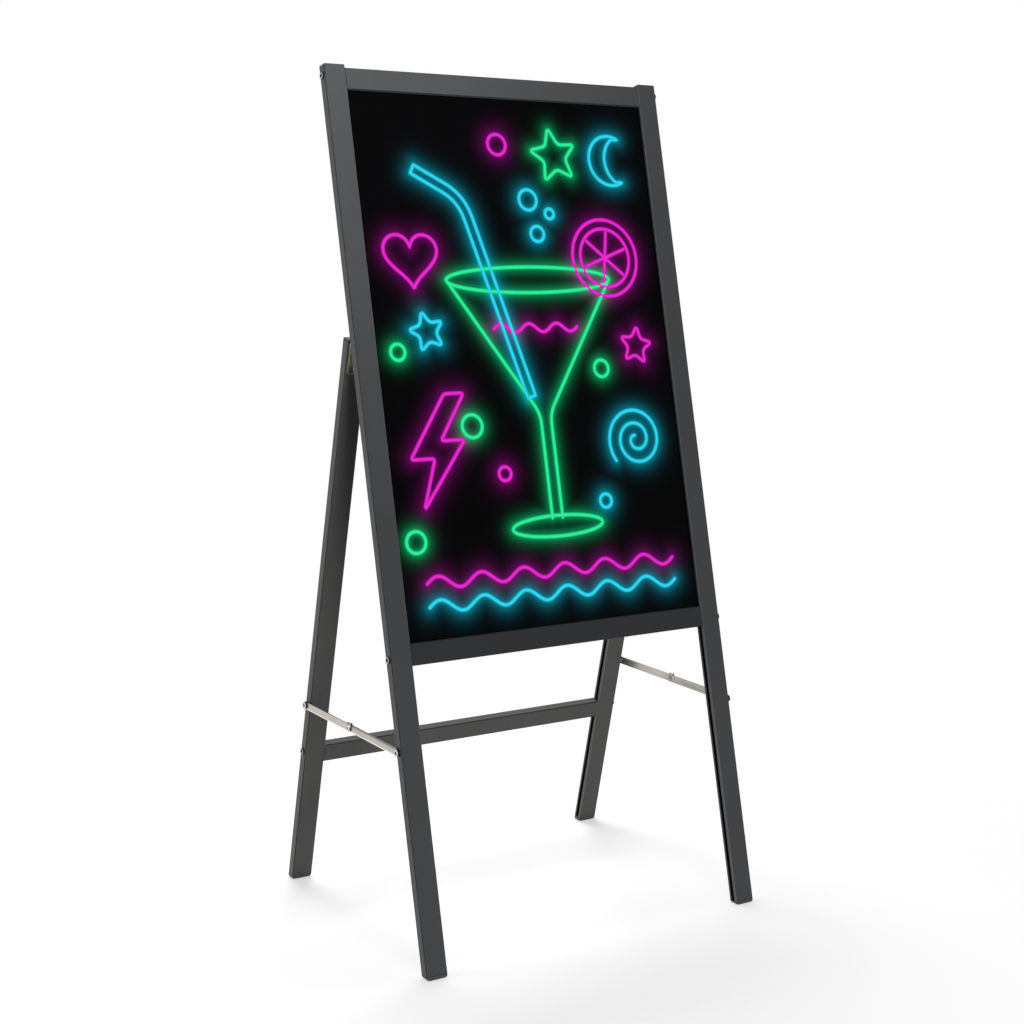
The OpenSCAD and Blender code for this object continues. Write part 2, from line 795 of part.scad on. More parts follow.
module left_hinge_pin() {
    color(zinc) front_place() left() at_leg() hinge_pin();
}

module right_hinge_pin() {
    color(zinc) front_place() at_leg() hinge_pin();
}

// A round-head screw through a leaf that lies on y = 0
module leaf_screw() {
    rotate([-90, 0, 0]) {
        translate([0, 0, leaf_t]) dome(leaf_head_d, leaf_head_h);
        translate([0, 0, -leaf_screw_len]) cylinder(d = leaf_screw_d, h = leaf_screw_len + leaf_t);
    }
}

module front_leaf_screws() {
    color(zinc) front_place() both() at_leg() translate([0, leg_depth, 0])
        leaf_screw_spots(hinge_up) leaf_screw();
}

module rear_leaf_screws() {
    color(zinc) rear_place() both() at_leg() leaf_screw_spots(rear_up) mirror([0, 1, 0]) leaf_screw();
}

// Stays

// A rivet nut in the leg's outer wall at height up
module rivet_nut(up) {
    translate([leg_face, mid_depth, up]) rotate([0, 90, 0]) difference() {
        union() {
            cylinder(d = nut_flange_d, h = nut_flange_t);
            translate([0, 0, -nut_len]) cylinder(d = nut_d, h = nut_len);
        }
        translate([0, 0, -nut_len - cut])
            cylinder(d = stay_bolt_d + 2 * screw_play, h = nut_len + nut_flange_t + 2 * cut);
    }
}

// A stay bolt whose link's outer face lies link_out from the leg
module stay_bolt(up, link_out) {
    translate([leg_face, mid_depth, up]) rotate([0, 90, 0]) {
        translate([0, 0, link_out + stay_play]) socket_head(stay_head_d, stay_head_h);
        translate([0, 0, -nut_len]) cylinder(d = stay_bolt_d, h = nut_len + link_out + stay_play);
    }
}

module front_stay_nuts() {
    color(zinc) front_place() both() at_leg() rivet_nut(front_pivot_up);
}

module rear_stay_nuts() {
    color(zinc) rear_place() both() at_leg() rivet_nut(rear_pivot_up);
}

module rear_stay_spacers() {
    color(zinc) rear_place() both() at_leg()
        translate([leg_face + nut_flange_t, mid_depth, rear_pivot_up]) rotate([0, 90, 0]) difference() {
            cylinder(d = nut_flange_d, h = rear_link_x - stay_play - nut_flange_t);
            translate([0, 0, -cut]) cylinder(d = stay_bolt_d + 2 * screw_play, h = rear_link_x + 2 * cut);
        }
}

module front_stay_bolts() {
    color(zinc) front_place() both() at_leg() stay_bolt(front_pivot_up, front_link_x + stay_t);
}

module rear_stay_bolts() {
    color(zinc) rear_place() both() at_leg() stay_bolt(rear_pivot_up, rear_link_x + stay_t);
}

// A flat bar with round ends from x = 0 to len
module link_outline(len) {
    translate([0, -stay_width / 2]) square([len, stay_width]);
    for (x = [0, len]) translate([x, 0]) circle(d = stay_width);
}

// A hole that turns on a leg's bolt at bolt_x, and one for the rivet at rivet_x
module link_holes(bolt_x, rivet_x) {
    translate([bolt_x, 0]) circle(d = stay_bolt_d + 2 * stay_bolt_play);
    translate([rivet_x, 0]) circle(d = stay_bolt_d + 2 * screw_play);
}

module front_link() {
    stay_place() translate([front_link_x, 0, 0]) along_x() linear_extrude(stay_t) difference() {
        link_outline(front_link_len);
        link_holes(0, front_link_len);
    }
}

// The rear link, with an ear at the rivet whose tab reaches over the front link's edge
module rear_link() {
    tab_low = stay_width / 2 + tab_gap;
    stay_place() translate([0, front_link_len, 0]) {
        translate([rear_link_x, 0, 0]) along_x() linear_extrude(stay_t) difference() {
            union() {
                link_outline(rear_link_len);
                translate([-tab_past - tab_len, stay_width / 4])
                    square([2 * tab_len + tab_past, tab_low + tab_t - stay_width / 4]);
            }
            link_holes(rear_link_len, 0);
        }
        translate([front_link_x, -tab_past - tab_len, tab_low])
            cube([rear_link_x - front_link_x + stay_t, tab_len, tab_t]);
    }
}

// The centre rivet in two pieces: its head and shank in the rear link, its tail in the front link
module rivet() {
    stay_place() translate([rear_link_x, front_link_len, 0]) rotate([0, 90, 0]) {
        cylinder(d = stay_bolt_d, h = stay_t);
        translate([0, 0, stay_t]) dome(rivet_head_d, rivet_head_h);
    }
}

module rivet_tail() {
    stay_place() translate([front_link_x, front_link_len, 0]) rotate([0, 90, 0]) {
        cylinder(d = stay_bolt_d, h = stay_t);
        translate([0, 0, -rivet_tail_h]) cylinder(d = rivet_head_d, h = rivet_tail_h);
    }
}

module left_front_link() {
    color(zinc) left() front_link();
}

module right_front_link() {
    color(zinc) front_link();
}

module left_rear_link() {
    color(zinc) left() rear_link();
}

module right_rear_link() {
    color(zinc) rear_link();
}

module left_stay_rivet() {
    color(zinc) left() rivet();
}

module right_stay_rivet() {
    color(zinc) rivet();
}

module left_stay_rivet_tail() {
    color(zinc) left() rivet_tail();
}

module right_stay_rivet_tail() {
    color(zinc) rivet_tail();
}

// Rear frame

module rear_leg() {
    difference() {
        translate([0, 0, foot_h]) linear_extrude(rear_leg_end - foot_h) leg_section();
        side_bore(screw_d + 2 * screw_play, crossbar_port, mid_depth, channel_d - cut, leg_face + cut);
        side_bore(nut_d + 2 * screw_play, rear_pivot_up, mid_depth, leg_face - wall - cut, leg_face + cut);
        leaf_screw_spots(rear_up) along_y_bore(leaf_screw_d + 2 * screw_play, -cut, wall + cut);
    }
}

module left_rear_leg() {
    color(frame_grey) rear_place() left() at_leg() rear_leg();
}

module right_rear_leg() {
    color(frame_grey) rear_place() at_leg() rear_leg();
}

module rear_crossbar() {
    color(frame_grey) rear_place() translate([0, 0, crossbar_up])
        across(rail_len) port_section(crossbar_face, crossbar_depth, crossbar_port - crossbar_up, mid_depth);
}

module left_rear_cap() {
    color(frame_grey) rear_place() left() at_leg() translate([0, 0, rear_leg_end]) leg_cap();
}

module right_rear_cap() {
    color(frame_grey) rear_place() at_leg() translate([0, 0, rear_leg_end]) leg_cap();
}

module left_rear_foot() {
    color(plastic_black) translate([0, rear_y, 0]) left() foot(rear_lean);
}

module right_rear_foot() {
    color(plastic_black) translate([0, rear_y, 0]) foot(rear_lean);
}

module crossbar_screws() {
    color(fastener_grey) rear_place() both() at_leg() long_screw(crossbar_port, mid_depth);
}

left_front_leg();
right_front_leg();
top_rail();
bottom_rail();
writing_panel();
backing_sheet();
left_led_strip();
right_led_strip();
left_led_lead();
right_led_lead();
left_top_cap();
right_top_cap();
left_front_foot();
right_front_foot();
rail_screws();
control_base();
control_housing();
control_board();
key_switch();
power_inlet();
control_screws();
mode_button();
left_hinge_front_leaf();
right_hinge_front_leaf();
left_hinge_pin();
right_hinge_pin();
front_leaf_screws();
front_stay_nuts();
front_stay_bolts();
left_rear_leg();
right_rear_leg();
rear_crossbar();
left_rear_cap();
right_rear_cap();
left_rear_foot();
right_rear_foot();
left_hinge_rear_leaf();
right_hinge_rear_leaf();
rear_leaf_screws();
crossbar_screws();
rear_stay_nuts();
rear_stay_spacers();
rear_stay_bolts();
left_front_link();
right_front_link();
left_rear_link();
right_rear_link();
left_stay_rivet();
right_stay_rivet();
left_stay_rivet_tail();
right_stay_rivet_tail();
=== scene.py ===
"""Dresses a folding sign stand that carries an edge-lit writing board.

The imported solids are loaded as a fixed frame. Each operator gives one group of pieces its finish, or makes
the pieces that are only looks: the lit board, its drawing, and the studio around the stand. Lengths are in
metres, apart from the drawing, which is laid out in millimetres.
"""

import json
import math

import bpy
import numpy as np
from bpy.props import FloatProperty, FloatVectorProperty, PointerProperty
from bpy.types import Operator, Panel, PropertyGroup
from mathutils import Matrix, Vector
from mathutils.kdtree import KDTree


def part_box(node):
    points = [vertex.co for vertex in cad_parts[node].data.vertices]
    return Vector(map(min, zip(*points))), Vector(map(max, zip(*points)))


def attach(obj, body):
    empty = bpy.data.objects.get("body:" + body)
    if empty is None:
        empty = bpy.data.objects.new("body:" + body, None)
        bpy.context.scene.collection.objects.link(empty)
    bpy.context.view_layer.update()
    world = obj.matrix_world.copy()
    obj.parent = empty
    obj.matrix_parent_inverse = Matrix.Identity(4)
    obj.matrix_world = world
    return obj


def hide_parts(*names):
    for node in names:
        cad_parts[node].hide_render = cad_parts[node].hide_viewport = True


bl_info = {
    "name": "Sign stand",
    "version": (1, 0, 0),
    "blender": (4, 5, 0),
    "location": "View3D > Sidebar > Sign stand",
    "description": "Finishes, lit board and studio of a folding sign stand",
    "category": "Object",
}

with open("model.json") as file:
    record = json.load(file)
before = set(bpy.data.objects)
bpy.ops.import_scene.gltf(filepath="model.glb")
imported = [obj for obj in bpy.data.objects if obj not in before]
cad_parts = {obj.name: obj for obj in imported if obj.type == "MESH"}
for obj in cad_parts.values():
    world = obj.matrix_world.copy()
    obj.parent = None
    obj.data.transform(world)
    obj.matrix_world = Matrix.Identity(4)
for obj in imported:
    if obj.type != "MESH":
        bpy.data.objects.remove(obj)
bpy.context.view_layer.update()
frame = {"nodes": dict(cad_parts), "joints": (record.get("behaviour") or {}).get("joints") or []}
NODES = frame["nodes"]
MM = 0.001
SIDES = ("left", "right")
# Angle from which an edge of a foot stays sharp
SHARP = math.radians(30)


def linear(*levels):
    """Linear values of screen levels from 0 to 255."""
    shares = [level / 255 for level in levels]
    return tuple(s / 12.92 if s <= 0.04045 else ((s + 0.055) / 1.055) ** 2.4 for s in shares)


def colour(name, description, *levels):
    """A colour property whose default is given in screen levels."""
    return FloatVectorProperty(
        name=name, description=description, default=linear(*levels), subtype="COLOR", size=3, min=0, max=1
    )


def length(name, description, default):
    """A length property in metres."""
    return FloatProperty(
        name=name, description=description, default=default, min=0, unit="LENGTH", precision=5
    )


def share(name, description, default):
    """A property from 0 to 1."""
    return FloatProperty(
        name=name, description=description, default=default, min=0, max=1, subtype="FACTOR"
    )


def power(name, description, default):
    """A lamp's power in watts."""
    return FloatProperty(name=name, description=description, default=default, min=0, unit="POWER")


class StandFinish(PropertyGroup):
    """Colours and gloss of the stand's pieces."""

    coat: colour("Coat", "Front legs, their caps and feet, and top rail", 75, 77, 79)
    # The bottom rail's coat is the front coat painted darker, a painted shade for the rail's dimmer
    # reflection
    shaded_rail_coat: colour("Lower coat", "Bottom rail", 50, 51, 53)
    # The rear frame's coat is the front coat painted lighter, a painted light for the brighter light on the
    # rear frame
    lit_rear_coat: colour("Rear coat", "Rear legs, their feet and crossbar", 83, 83, 82)
    coat_gloss: share("Coat roughness", "Roughness of the satin coat", 0.46)
    rear_cap: colour("Rear caps", "Moulded caps on top of the rear legs", 44, 44, 43)
    # Also the colour that the rear feet take up to a height above the floor
    seam: colour("Foot seams", "Seams and soles of the feet", 40, 40, 41)
    leg_corner: length("Leg corner", "Radius of a leg's long edges", 0.0016)
    foot_corner: length("Foot corner", "Radius of a foot's lower corners in front view", 0.0034)
    foot_edge: length("Foot edge", "Radius of a foot's lower front and rear edges", 0.0008)
    # The rear feet are darker up to this height above the floor
    rear_dark_height: length("Rear soles", "Height of the dark soles of the rear feet", 0.002)
    zinc: colour("Zinc", "Bright plating of the front links", 178, 173, 166)
    # The rear links' plating is the front links' painted lighter, a painted light for the light they catch
    rear_zinc: colour("Rear zinc", "Bright plating of the rear links", 187, 182, 175)
    # Painted shade along a stay's upper border
    zinc_upper: colour("Zinc border", "Upper border of a stay", 128, 125, 120)
    # Painted highlight along a stay's lower border
    zinc_lower: colour("Zinc lower border", "Lower border of a stay", 232, 227, 219)
    rivet: colour("Rivet", "Plating of the centre rivets", 206, 201, 194)
    bolt: colour("Bolt heads", "Faces of the stay bolts", 172, 170, 190)
    # Painted highlight on the rims of the stay bolts' faces
    bolt_highlight: colour("Bolt rims", "Rims of the stay bolts' faces", 206, 204, 214)
    head: colour("Screw heads", "Faces of the rail and crossbar screws", 104, 104, 106)
    # Painted highlight on the rims of the screws' faces
    head_highlight: colour("Screw rims", "Rims of the screws' faces", 160, 160, 160)
    # Painted shade on the sides and in the sockets of the heads
    wall_shade: colour("Head walls", "Walls and sockets of the heads", 7, 7, 8)
    hinge: colour("Hinge steel", "Plated steel of the hinges", 146, 142, 123)
    # Painted highlight on the edges of the hinge leaves and screws
    hinge_rim: colour("Hinge edges", "Bright edges of the hinge leaves and screws", 240, 236, 220)
    # Also the painted shade on the stays' cut edges and in the rivets' centres and rims
    black: colour("Black screws", "Black oxide of the small screws", 34, 34, 36)
    box: colour("Control box", "Moulded control box", 30, 30, 32)
    button: colour("Button", "Moulded mode button", 96, 96, 100)
    inlet: colour("Inlet", "Moulded power inlet and key switch", 16, 16, 17)
    mask: colour("Solder mask", "Circuit board", 18, 84, 50)
    tape: colour("Light strips", "Strips in the legs", 228, 226, 214)
    lead: colour("Leads", "Insulation of the strips' leads", 150, 26, 24)
    backing: colour("Backing", "Sheet behind the board", 22, 22, 24)


class BoardLook(PropertyGroup):
    """The lit writing board and the inks drawn on it."""

    dark: colour("Dark board", "Board where no light leaves it", 3, 3, 4)
    green: colour("Green ink", "Lit green ink", 46, 252, 160)
    magenta: colour("Magenta ink", "Lit magenta ink", 246, 44, 220)
    cyan: colour("Cyan ink", "Lit cyan ink", 48, 226, 255)
    stroke: length("Stroke", "Width of a stroke", 0.0052)
    core: length("Core", "How far from a stroke's middle its light spreads", 0.0015)
    crown: length("Crown", "Height of a stroke above the board", 0.0003)
    step: length("Step", "Spacing of the points along a stroke", 0.0022)
    cell: length("Cell", "Grid of the board's front", 0.0025)
    halo: FloatVectorProperty(
        name="Halo", description="Distance over which each ink's glow fades",
        default=(0.0048, 0.0064, 0.0057), size=3, min=0, unit="LENGTH", precision=5,
    )
    glow: FloatVectorProperty(
        name="Glow", description="Brightness of the board beside each ink",
        default=(0.245, 0.125, 0.23), size=3, min=0, max=1,
    )


class StudioLook(PropertyGroup):
    """Camera, lamps and floor."""

    eye: FloatVectorProperty(
        name="Eye", description="Where the camera stands",
        default=(-1.112886, -1.695231, 0.817737), subtype="TRANSLATION", unit="LENGTH", size=3,
    )
    yaw: FloatProperty(
        name="Yaw", description="Camera's turn to the right", default=0.571867, subtype="ANGLE"
    )
    pitch: FloatProperty(name="Pitch", description="Camera's tilt", default=-0.173397, subtype="ANGLE")
    roll: FloatProperty(name="Roll", description="Camera's roll", default=0.023652, subtype="ANGLE")
    lens: FloatProperty(
        name="Lens", description="Focal length on a 36 mm sensor", default=62.12, unit="CAMERA", min=1
    )
    key_lamp: power("Key lamp", "Narrow beam on the upper left corner", 0.9)
    front_lamp: power("Front lamp", "Low soft box in front", 21)
    side_lamp: power("Side lamp", "Soft box on the left", 22)
    back_lamp: power("Back lamp", "Soft box overhead, behind the stand", 40)
    ambient: share("Ambient", "Level of the white surroundings as light", 0.03)
    bounce: share("Bounce", "Level of the floor as light", 0.5)
    floor: colour("Floor", "Pale floor", 222, 222, 222)
    floor_lift: share("Floor lift", "White that the floor shows besides its own shading", 0.55)
    floor_near: length("Floor near", "How far from the stand the floor starts to turn plain white", 0.35)
    floor_far: length("Floor far", "How far from the stand the floor is plain white", 0.95)


# Shader nodes

# Usual range of a noise
NOISE_RANGE = (0.3, 0.7)


class Tree:
    """Shader nodes of a material or of the surroundings, with makers for the kinds used here."""

    def __init__(self, owner, last):
        owner.use_nodes = True
        self.owner = owner
        self.nodes = owner.node_tree.nodes
        self.link = owner.node_tree.links.new
        self.inputs = self.nodes[last].inputs

    def put(self, socket, value):
        """Feeds an input with another node's output, or sets it to a constant."""
        if isinstance(value, bpy.types.NodeSocket):
            self.link(value, socket)
        else:
            socket.default_value = value

    def feed(self, name, value):
        """Feeds an input of the last node, which is the surface or the surroundings."""
        self.put(self.inputs[name], value)

    def math(self, operation, *values, kind="ShaderNodeMath", output="Value"):
        """Result of a math node, from sockets or constants."""
        node = self.nodes.new(kind)
        node.operation = operation
        for socket, value in zip(node.inputs, values):
            self.put(socket, value)
        return node.outputs[output]

    def vector(self, operation, *values):
        """Result of a math node for vectors or colours."""
        return self.math(operation, *values, kind="ShaderNodeVectorMath", output="Vector")

    def diagonal(self, *sides):
        """Square root of the sum of two squares."""
        return self.math("SQRT", self.math("ADD", *(self.math("MULTIPLY", side, side) for side in sides)))

    def remap(self, value, low, high, to_low=0, to_high=1):
        """A value moved from one range to another and kept inside it."""
        node = self.nodes.new("ShaderNodeMapRange")
        for socket, number in zip(node.inputs, (value, low, high, to_low, to_high)):
            self.put(socket, number)
        return node.outputs["Result"]

    def coordinate(self, output, lean=0):
        """A coordinate of the piece's own space, turned so that its Z runs up a leaning frame."""
        turn = self.nodes.new("ShaderNodeVectorRotate")
        turn.rotation_type = "X_AXIS"
        turn.inputs["Angle"].default_value = lean
        self.link(self.nodes.new("ShaderNodeTexCoord").outputs[output], turn.inputs["Vector"])
        return turn.outputs["Vector"]

    def parts(self, output, lean=0, absolute=False):
        """X, Y and Z of a coordinate of the piece's own space, along a leaning frame."""
        vector = self.coordinate(output, lean)
        split = self.nodes.new("ShaderNodeSeparateXYZ")
        self.link(self.vector("ABSOLUTE", vector) if absolute else vector, split.inputs["Vector"])
        return split.outputs["X"], split.outputs["Y"], split.outputs["Z"]

    def noise(self, scale, detail=3, stretch=(1, 1, 1), lean=0):
        """Value of a noise in the piece's own space, stretched along a leaning frame if asked."""
        mapping = self.nodes.new("ShaderNodeMapping")
        mapping.inputs["Scale"].default_value = stretch
        self.link(self.coordinate("Object", lean), mapping.inputs["Vector"])
        texture = self.nodes.new("ShaderNodeTexNoise")
        texture.inputs["Scale"].default_value = scale
        texture.inputs["Detail"].default_value = detail
        self.link(mapping.outputs["Vector"], texture.inputs["Vector"])
        return texture.outputs["Fac"]

    def tint(self, rgb, swing, scale, detail=3):
        """A colour that goes darker and lighter by a share, in the clouds of a noise."""
        ramp = self.nodes.new("ShaderNodeValToRGB")
        for element, position, factor in zip(ramp.color_ramp.elements, NOISE_RANGE, (1 - swing, 1 + swing)):
            element.position = position
            element.color = (*(min(1, c * factor) for c in rgb), 1)
        self.link(self.noise(scale, detail), ramp.inputs["Fac"])
        return ramp.outputs["Color"]

    def blend(self, value, first, second):
        """The first colour where a value is 0 and the second where it is 1; each is a socket or a colour."""
        mix = self.nodes.new("ShaderNodeMix")
        mix.data_type = "RGBA"
        self.link(value, mix.inputs["Factor"])
        # The colour sockets come after those for numbers and vectors, which have the same names
        for socket, rgb in zip(mix.inputs[6:8], (first, second)):
            self.put(socket, rgb if isinstance(rgb, bpy.types.NodeSocket) else (*rgb, 1))
        return mix.outputs[2]

    def stored(self, layer):
        """Colours stored at the mesh's points."""
        node = self.nodes.new("ShaderNodeVertexColor")
        node.layer_name = layer
        return node.outputs["Color"]

    def rough(self, value, level, swing):
        """Roughness that swings about a level with a noise."""
        self.feed("Roughness", self.remap(value, *NOISE_RANGE, level - swing, level + swing))

    def grain(self, value, depth, strength=0.5):
        """Turns a noise into a bump of a given depth."""
        bump = self.nodes.new("ShaderNodeBump")
        bump.inputs["Strength"].default_value = strength
        bump.inputs["Distance"].default_value = depth
        self.link(value, bump.inputs["Height"])
        self.feed("Normal", bump.outputs["Normal"])

    def brushed(self, level, swing, stretch):
        """Lines of rolled or turned metal, in roughness and bump."""
        lines = self.noise(1, 5, stretch)
        self.rough(lines, level, swing)
        self.grain(lines, 0.02 * MM)

    def eroded(self, level, swing, scale, depth):
        """Texture of a spark-eroded mould, in roughness and bump."""
        texture = self.noise(scale, 4)
        self.rough(texture, level, swing)
        self.grain(texture, depth, 0.6)


def surface(name, metallic=0, specular=0.5):
    """Nodes of a new material."""
    tree = Tree(bpy.data.materials.new(name), "Principled BSDF")
    tree.feed("Metallic", metallic)
    tree.feed("Specular IOR Level", specular)
    return tree


# Finishes


def edge_shade_and_highlight(tree, lean, dark, light):
    """1 on the flat faces of a leaning bar, painted shade on its outer edges and a painted highlight on those
    that face inwards.
    """
    x, y, z = tree.parts("Normal", lean, absolute=True)
    # The largest part of the normal is near 1 on a flat face
    most = tree.math("MAXIMUM", x, tree.math("MAXIMUM", y, z))
    edge = tree.remap(most, 0.86, 0.985, 1, 0)
    # Below 0 where the surface faces the stand's middle
    outward = tree.math("MULTIPLY", tree.parts("Normal")[0], tree.parts("Object")[0])
    # Outer edges are painted darker as shade, inward edges lighter as a highlight
    change = tree.remap(outward, -0.06, -0.02, light - 1, dark - 1)
    return tree.math("MULTIPLY_ADD", edge, change, 1)


def hollow_shade(tree, lean, box, dark):
    """1 on a leg's skin and a share of painted shade in its hollows; the box has the lowest and highest u and
    w.
    """
    x, y, _ = tree.parts("Object", lean)
    skin = 0.6 * MM
    within = []
    for value, low, high in zip((tree.math("ABSOLUTE", x), y), *box):
        within.append(tree.math("COMPARE", value, (low + high) / 2, (high - low) / 2 - skin))
    return tree.remap(tree.math("MULTIPLY", *within), 0, 1, 1, dark)


def coat_finish(name, rgb, roughness, lean, box=None, along=(700, 700, 5)):
    """Satin coat on an extrusion: a fine orange peel, soft clouds of darker and lighter tone and faint lines
    along its length.

    The coat carries painted shade on its outer edges, a painted highlight on its inward edges and, where a
    leg's box is given, painted shade in its slot.
    """
    tree = surface(name, specular=0.14)
    # Painted shade on the outer edges and a painted highlight on the inward ones
    rgb = tree.vector("MULTIPLY", tree.tint(rgb, 0.05, 9, 2), edge_shade_and_highlight(tree, lean, dark=0.3, light=1.7))
    if box:
        # Painted shade in the leg's slot
        rgb = tree.vector("MULTIPLY", rgb, hollow_shade(tree, lean, box, dark=0.12))
    tree.feed("Base Color", rgb)
    tree.rough(tree.noise(1, 4, along, lean), roughness, 0.06)
    tree.grain(tree.noise(1500, 2), 0.04 * MM)
    return tree.owner


def moulded_finish(name, rgb, roughness, spark=900, depth=0.08 * MM):
    """Moulded plastic with a spark-eroded texture."""
    tree = surface(name, specular=0.2)
    tree.feed("Base Color", tree.tint(rgb, 0.1, 60))
    tree.eroded(roughness, 0.08, spark, depth)
    return tree.owner


def foot_finish(name, rgb, seam, lean, cut, dark_height):
    """Moulded plastic with a dark seam under the leg's cut end, and darker up to a given height above the
    floor.
    """
    tree = surface(name, specular=0.2)
    # The seam fades in between these depths
    deep, shallow = 0.8 * MM, 0.5 * MM
    dark = tree.remap(tree.parts("Object", lean)[2], cut - deep, cut - shallow)
    # Darker up to a given height above the floor
    if dark_height:
        low = tree.remap(tree.parts("Object")[2], 0.6 * dark_height, dark_height, 1, 0)
        dark = tree.math("MAXIMUM", dark, low)
    tree.feed("Base Color", tree.blend(dark, tree.tint(rgb, 0.06, 60), seam))
    tree.eroded(0.53, 0.07, 900, 0.06 * MM)
    return tree.owner


def plated_finish(name, rgb, roughness, brush):
    """Plated steel with faint lines and cloudy tarnish."""
    tree = surface(name, metallic=1)
    tree.feed("Base Color", tree.tint(rgb, 0.09, 70, 5))
    tree.brushed(roughness, 0.1, brush)
    return tree.owner


def link_finish(name, node, rgb, upper, lower, edge):
    """A stay's strip of rolled steel with painted light: painted shade on its cut edges and, outside, painted
    shade along its upper border and a painted highlight along its lower one.
    """
    tree = surface(name, metallic=1)
    flat = np.array([vertex.co for vertex in NODES[node].data.vertices])[:, 1:]
    rise = np.linalg.svd(flat - flat.mean(0), full_matrices=False)[2][1]
    rise *= np.sign(rise[1])
    low, high = float((flat @ rise).min()), float((flat @ rise).max())
    x, y, z = tree.parts("Object")
    height = tree.math("MULTIPLY_ADD", y, float(rise[0]), tree.math("MULTIPLY", z, float(rise[1])))
    facing = tree.parts("Normal")[0]
    outside = tree.remap(tree.math("MULTIPLY", x, facing), 0, 0.1)
    # How far each border reaches in from its edge, and where it has faded out
    bright, bright_end = 1.1 * MM, 1.6 * MM
    dull, dull_end = 1.8 * MM, 2.4 * MM
    below = tree.remap(height, low + bright, low + bright_end, 1, 0)
    above = tree.remap(height, high - dull_end, high - dull)
    rgb = tree.tint(rgb, 0.06, 70, 5)
    # Painted shade along the upper border and a painted highlight along the lower one, on the outer face
    for border, shade in ((below, lower), (above, upper)):
        rgb = tree.blend(tree.math("MULTIPLY", outside, border), rgb, shade)
    # Painted shade on the strip's cut edges
    cut = tree.remap(tree.math("ABSOLUTE", facing), 0.5, 0.8, 1, 0)
    tree.feed("Base Color", tree.blend(cut, rgb, edge))
    tree.brushed(0.34, 0.1, (260, 12, 260))
    return tree.owner


def leaf_finish(name, node, lean, rgb, rim):
    """A hinge leaf with a painted highlight on its cut edges; the node is the right-hand one of a pair."""
    tree = surface(name, metallic=1)
    low, high = leaned_box(node, lean)
    x, _, z = tree.parts("Object", lean)
    across = tree.math("ABSOLUTE", x)
    narrow, wide = 0.8 * MM, 1.1 * MM
    outer = float(high[0])
    # Painted highlight along the leaf's cut edges
    edge = tree.remap(across, outer - wide, outer - narrow)
    for value, place in ((across, float(low[0])), (z, float(low[1]))):
        edge = tree.math("MAXIMUM", edge, tree.remap(value, place + narrow, place + wide, 1, 0))
    tree.feed("Base Color", tree.blend(edge, tree.tint(rgb, 0.12, 70, 5), rim))
    tree.brushed(0.35, 0.09, (200, 20, 200))
    return tree.owner


def leaf_screw_finish(name, lean, rgb, rim):
    """Round heads on a hinge leaf: dull on top, with a painted highlight around."""
    tree = surface(name, metallic=1)
    # Dull on top, with a painted highlight around the head
    top = tree.remap(tree.parts("Normal", lean, absolute=True)[1], 0.82, 0.92)
    tree.feed("Base Color", tree.blend(top, rim, tree.tint(rgb, 0.15, 300, 4)))
    tree.rough(tree.noise(700, 4), 0.31, 0.09)
    return tree.owner


def off_axis(tree, node, reach):
    """Distance from the nearest of a piece's cross axes, as a share of the reach of its heads.

    The axes run along X, one at the lower front corner of the piece's box and one at the upper rear corner.
    """
    low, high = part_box(node)
    _, y, z = tree.parts("Object")
    away = []
    for axis in ((low.y + reach, low.z + reach), (high.y - reach, high.z - reach)):
        away.append(tree.diagonal(*(tree.math("SUBTRACT", *pair) for pair in zip((y, z), axis))))
    return tree.math("DIVIDE", tree.math("MINIMUM", *away), reach)


def head_reach(node):
    """Radius of the heads of bolts or screws that share one cross axis."""
    low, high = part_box(node)
    return (high.z - low.z) / 2


def head_finish(name, node, reach, face, rim, wall_shade, edge):
    """Steel heads with a face out to a share of their reach, a painted highlight around its outer part, and
    painted shade on their sides and in their sockets.
    """
    tree = surface(name, specular=0.1)
    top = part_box(node)[1].x
    facing = tree.remap(tree.parts("Normal", absolute=True)[0], 0.6, 0.8)
    # Two depths between a face and its socket's floor
    deep, shallow = 0.9 * MM, 0.75 * MM
    proud = tree.remap(tree.parts("Object", absolute=True)[0], top - deep, top - shallow)
    away = off_axis(tree, node, reach)
    inside = tree.remap(away, edge - 0.06, edge, 1, 0)
    shown = tree.math("MULTIPLY", tree.math("MULTIPLY", facing, proud), inside)
    # A painted highlight around the face's outer part
    highlight_band = tree.remap(away, 0.62, 0.74)
    bright = tree.blend(highlight_band, tree.tint(face, 0.15, 420, 5), rim)
    # Painted shade on the head's side and in its socket
    tree.feed("Base Color", tree.blend(shown, wall_shade, bright))
    tree.feed("Metallic", tree.math("MULTIPLY", shown, 0.8))
    tree.rough(tree.noise(420, 5), 0.36, 0.06)
    tree.grain(tree.noise(1600), 0.03 * MM)
    return tree.owner


def rivet_finish(name, node, rgb, dark):
    """A rivet's rings: painted shade in its centre and at its rim, with the bright plating between."""
    tree = surface(name, metallic=1)
    away = off_axis(tree, node, head_reach(node))
    # Painted shade in the centre and at the rim
    dimple_shade = tree.remap(away, 0.36, 0.5, 1, 0)
    rim = tree.remap(away, 0.8, 0.92)
    rings = tree.math("MAXIMUM", dimple_shade, rim)
    tree.feed("Base Color", tree.blend(rings, tree.tint(rgb, 0.1, 300, 4), dark))
    tree.rough(tree.noise(700, 4), 0.31, 0.09)
    return tree.owner


def oxide_finish(name, rgb):
    """Black oxide on small steel screws, rubbed a little lighter in patches."""
    tree = surface(name, metallic=0.55)
    tree.feed("Base Color", tree.tint(rgb, 0.35, 420, 5))
    tree.rough(tree.noise(420, 5), 0.38, 0.08)
    tree.grain(tree.noise(1600), 0.03 * MM)
    return tree.owner


